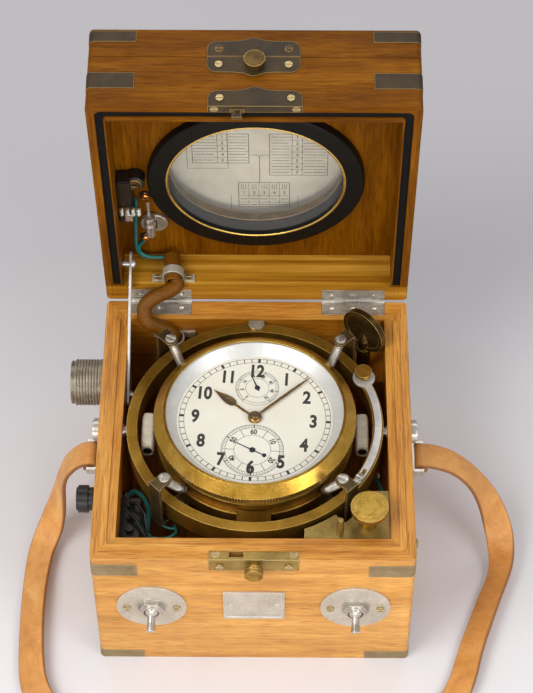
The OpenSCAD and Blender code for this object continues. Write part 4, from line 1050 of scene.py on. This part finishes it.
def make_card_print():
    place = LID @ move(0, 0, 158.58) @ OVER
    objs = []

    def stroke(x0, y0, x1, y1, w=0.45):
        a, b = Vector((x0, -y0)), Vector((x1, -y1))
        d = (b - a).normalized() * (w / 2)
        n = Vector((-d.y, d.x))
        a, b = a - d, b + d
        objs.append(prism("stroke", [tuple(a - n), tuple(b - n), tuple(b + n), tuple(a + n)], 0.01, 0.05,
                          place))

    def box(x0, y0, x1, y1, w=0.45):
        for line in ((x0, y0, x1, y0), (x1, y0, x1, y1), (x1, y1, x0, y1), (x0, y1, x0, y0)):
            stroke(*line, w)

    def words(x0, x1, y, seed):
        """Stands in for a line of small print."""
        x, k = x0, seed
        while x < x1 - 0.9:
            k = (k * 37 + 11) % 101
            w = min(0.9 + k % 5 * 0.45, x1 - x)
            stroke(x, y, x + w, y, 0.55)
            x += w + 0.75

    box(-40.2, -19.9, -4.7, 9.6)
    box(8.3, -20, 45, 22)
    for i in range(1, 5):
        stroke(-40.2, -19.9 + 5.9 * i, -4.7, -19.9 + 5.9 * i, 0.3)
    for i in range(1, 7):
        stroke(8.3, -20 + 6 * i, 45, -20 + 6 * i, 0.3)
    for x in (-24.4, -18.1):
        stroke(x, -19.9, x, 9.6, 0.35)
    for x in (22.5, 28.9):
        stroke(x, -20, x, 22, 0.35)
    box(-43.6, -25, -17.9, 15.2, 0.3)
    for i in range(5):
        y = -17 + 5.9 * i
        words(-39, -25.4, y, 3 + i)
        words(-17, -6, y, 9 + i)
        objs.append(figure(str(i + 1), 3.0, -21.2, -y, 0.03, place, 0.9, 0.06))
    for i in range(7):
        y = -17 + 6 * i
        words(9.8, 21.6, y, 17 + i)
        words(30.2, 43.6, y, 23 + i)
        objs.append(figure(str(i + 1), 3.0, 25.7, -y, 0.03, place, 0.9, 0.06))
    stroke(-4.7, 1.2, 0.6, 1.2)
    stroke(8.3, 1.2, 3.4, 1.2)
    stroke(0.6, 1.2, 2.0, 3.0)
    stroke(3.4, 1.2, 2.0, 3.0)
    stroke(2.0, 3.0, 2.0, 30)
    box(-11.6, 30, 21, 56)
    for i in range(1, 5):
        stroke(-11.6 + 6.52 * i, 30, -11.6 + 6.52 * i, 56, 0.3)
    for y in (44, 51):
        stroke(-11.6, y, 21, y, 0.3)
    for i in range(5):
        objs.append(figure(str(i + 1), 2.8, -8.3 + 6.52 * i, -40.6, 0.03, place, 0.9, 0.06))
        for k in range(3):
            stroke(-9.6 + 6.52 * i + 1.3 * k, 32, -9.6 + 6.52 * i + 1.3 * k, 37, 0.35)
        words(-10.6 + 6.52 * i, -6.2 + 6.52 * i, 47.5, 31 + i)
        words(-10.6 + 6.52 * i, -6.2 + 6.52 * i, 53.6, 41 + i)
    stroke(-16.5, 44, -16.5, 58, 0.3)
    stroke(26.5, 44, 26.5, 58, 0.3)
    ink = join("card_print", objs)
    settle(ink, CARD_INK, "outer")


make_card_print()


# ------------------------------------------------------------------ side pads
def make_pads():
    """Two cloth pads beside the bowl, each with a rolled hem at its front end arching over a black disc that
    is painted shade.
    """
    for side, name in ((-1, "pad_left"), (1, "pad_right")):
        rows, cols = 40, 28
        verts, faces = [], []
        for i in range(rows + 1):
            y = -13.2 + 26.4 * i / rows
            swell = 1 - 0.3 * math.exp(-(13.25 - abs(y)) / 1.1)
            for k in range(cols):
                a = 2 * math.pi * k / cols
                c, d = math.cos(a), math.sin(a)
                fold = 0.14 * math.sin(0.9 * y + 2.5 * d) + 0.1 * math.sin(1.7 * y - 4 * c)
                px = 67.4 + math.copysign(4.1 * abs(c) ** 0.4, c) * swell + 0.5 * fold * c
                pz = 102.5 + math.copysign(6.1 * abs(d) ** 0.42, d) * (0.2 + 0.8 * swell) + fold * d
                verts.append((side * px, y, pz))
        for i in range(rows):
            for k in range(cols):
                m = (k + 1) % cols
                faces.append((i * cols + k, i * cols + m, (i + 1) * cols + m, (i + 1) * cols + k))
        faces.append(tuple(range(cols)))
        faces.append(tuple(range(rows * cols, (rows + 1) * cols)))
        body = make("body", verts, faces, GIMBAL, smooth=True)
        hem = [(side * 70.6, -12.6, 102.6), (side * 70.0, -12.6, 105.6), (side * 67.6, -12.5, 107.4),
               (side * 65.2, -12.6, 106.2), (side * 64.2, -12.6, 103.4)]
        hem = tube("hem", hem, 0.8, GIMBAL, 12, 8)
        # painted shade: a black disc stands for the dark under the rolled hem
        hole = solid_lathe("hole", [(2.9, 0), (2.9, 0.6)],
                           GIMBAL @ move(side * 67.4, -12.8, 103.0) @ TO_FRONT, 28)
        dress(body, PAD)
        dress(hem, PAD)
        dress(hole, BLACK)
        pad = join(name, [body, hem, hole])
        settle(pad, None, "bowl", "side_pads")


make_pads()


def make_strip():
    """The white marker strip on the bowl's front lug."""
    strip = block("marker_strip", (-7.0, -72.1, 105.15), (7.4, -68.6, 105.75), 0.25, GIMBAL)
    settle(strip, WHITE_STRIP, "bowl")


make_strip()


# ------------------------------------------------------------------ wiring in the front corners
def make_corner_wires():
    wires = []
    bundle = [(-79.6, -36.0, 88.4), (-76.6, -34.4, 89.8), (-72, -36.8, 90.2), (-68, -42.4, 89.6),
              (-66.2, -50, 88.6), (-66.8, -57, 87.0), (-68, -66, 84), (-68, -74, 78)]
    for dx, dy, dz in ((0, 0, 0), (1.5, -0.4, 0.1), (0.7, 0.9, 0.5)):
        wires.append(tube("w", [(x + dx, y + dy, z + dz) for x, y, z in bundle], 0.75, sides=10))
    wires.append(tube("w", [(-70.4, -48, 87.6), (-70.6, -55, 88.2), (-68.3, -61.5, 88.4), (-64, -66.2, 87.6),
                            (-62, -71, 84)], 0.85))
    wires.append(tube("w", [(-72.6, -50, 86), (-72.4, -57, 86.6), (-68.5, -64, 86.6), (-61, -66.4, 86.2),
                            (-53.5, -65.6, 85.6), (-48.4, -61.6, 85.4), (-49.5, -56.5, 85.4)], 0.85))
    wires.append(tube("w", [(-66, -47, 87), (-62.6, -51, 87.4), (-58.4, -56, 87.2), (-53.4, -59, 86.8),
                            (-48.8, -59.6, 86.6)], 0.85))
    wires.append(tube("w", [(76.2, -23, 89.4), (78.4, -28, 89.6), (80.4, -35, 89.0), (80.9, -43, 87.4),
                            (80.6, -52, 84)], 1.1))
    wires = join("corner_wires", wires)
    settle(wires, TEAL, "case")
    left = lathe("lug", [(1.1, 0), (1.7, 0), (1.7, 0.7), (1.1, 0.7)],
                 move(-79.6, -36.0, 88.4) @ Matrix.Rotation(0.5, 4, "Y"), 28)
    tail = block("lug_tail", (-80.7, -44, 84.6), (-78.6, -37.4, 88.0), 0.3)
    right = lathe("lug", [(1.3, 0), (2.8, 0), (2.8, 0.8), (1.3, 0.8)], move(75.9, -20.6, 89.0), 28)
    settle(join("wire_lugs", [left, tail, right]), NICKEL, "case")


make_corner_wires()


# ------------------------------------------------------------------ stage and light
def make_stage():
    bpy.ops.mesh.primitive_plane_add(size=6, location=(0, 0, 0))
    floor = bpy.context.object
    floor.name = "floor"
    dress(floor, FLOOR)


def area_light(name, place, target, size, power, colour=(1, 1, 1)):
    data = bpy.data.lights.new(name, "AREA")
    data.shape = "RECTANGLE"
    data.size, data.size_y = size
    data.energy = power
    data.color = colour
    lamp = bpy.data.objects.new(name, data)
    lamp.location = place
    lamp.rotation_euler = (Vector(target) - Vector(place)).to_track_quat("-Z", "Y").to_euler()
    bpy.context.scene.collection.objects.link(lamp)


def make_light():
    bpy.context.scene.view_settings.view_transform = "Standard"
    world = bpy.data.worlds.new("studio")
    world.use_nodes = True
    sky = world.node_tree.nodes["Background"]
    sky.inputs[0].default_value = (0.92, 0.91, 0.93, 1)
    sky.inputs[1].default_value = 0.46
    bpy.context.scene.world = world
    area_light("key", (-0.9, -0.7, 1.5), (0, 0, 0.1), (0.9, 0.9), 18, (1.0, 0.98, 0.95))
    area_light("fill", (1.1, -0.9, 1.1), (0, 0, 0.1), (0.8, 0.8), 9, (0.97, 0.98, 1.0))
    area_light("front", (0, -1.5, 0.5), (0, -0.1, 0.08), (1.2, 0.5), 9)
    area_light("back", (0, 1.2, 1.6), (0, -0.05, 0.1), (1.7, 0.5), 8)


make_stage()
make_light()
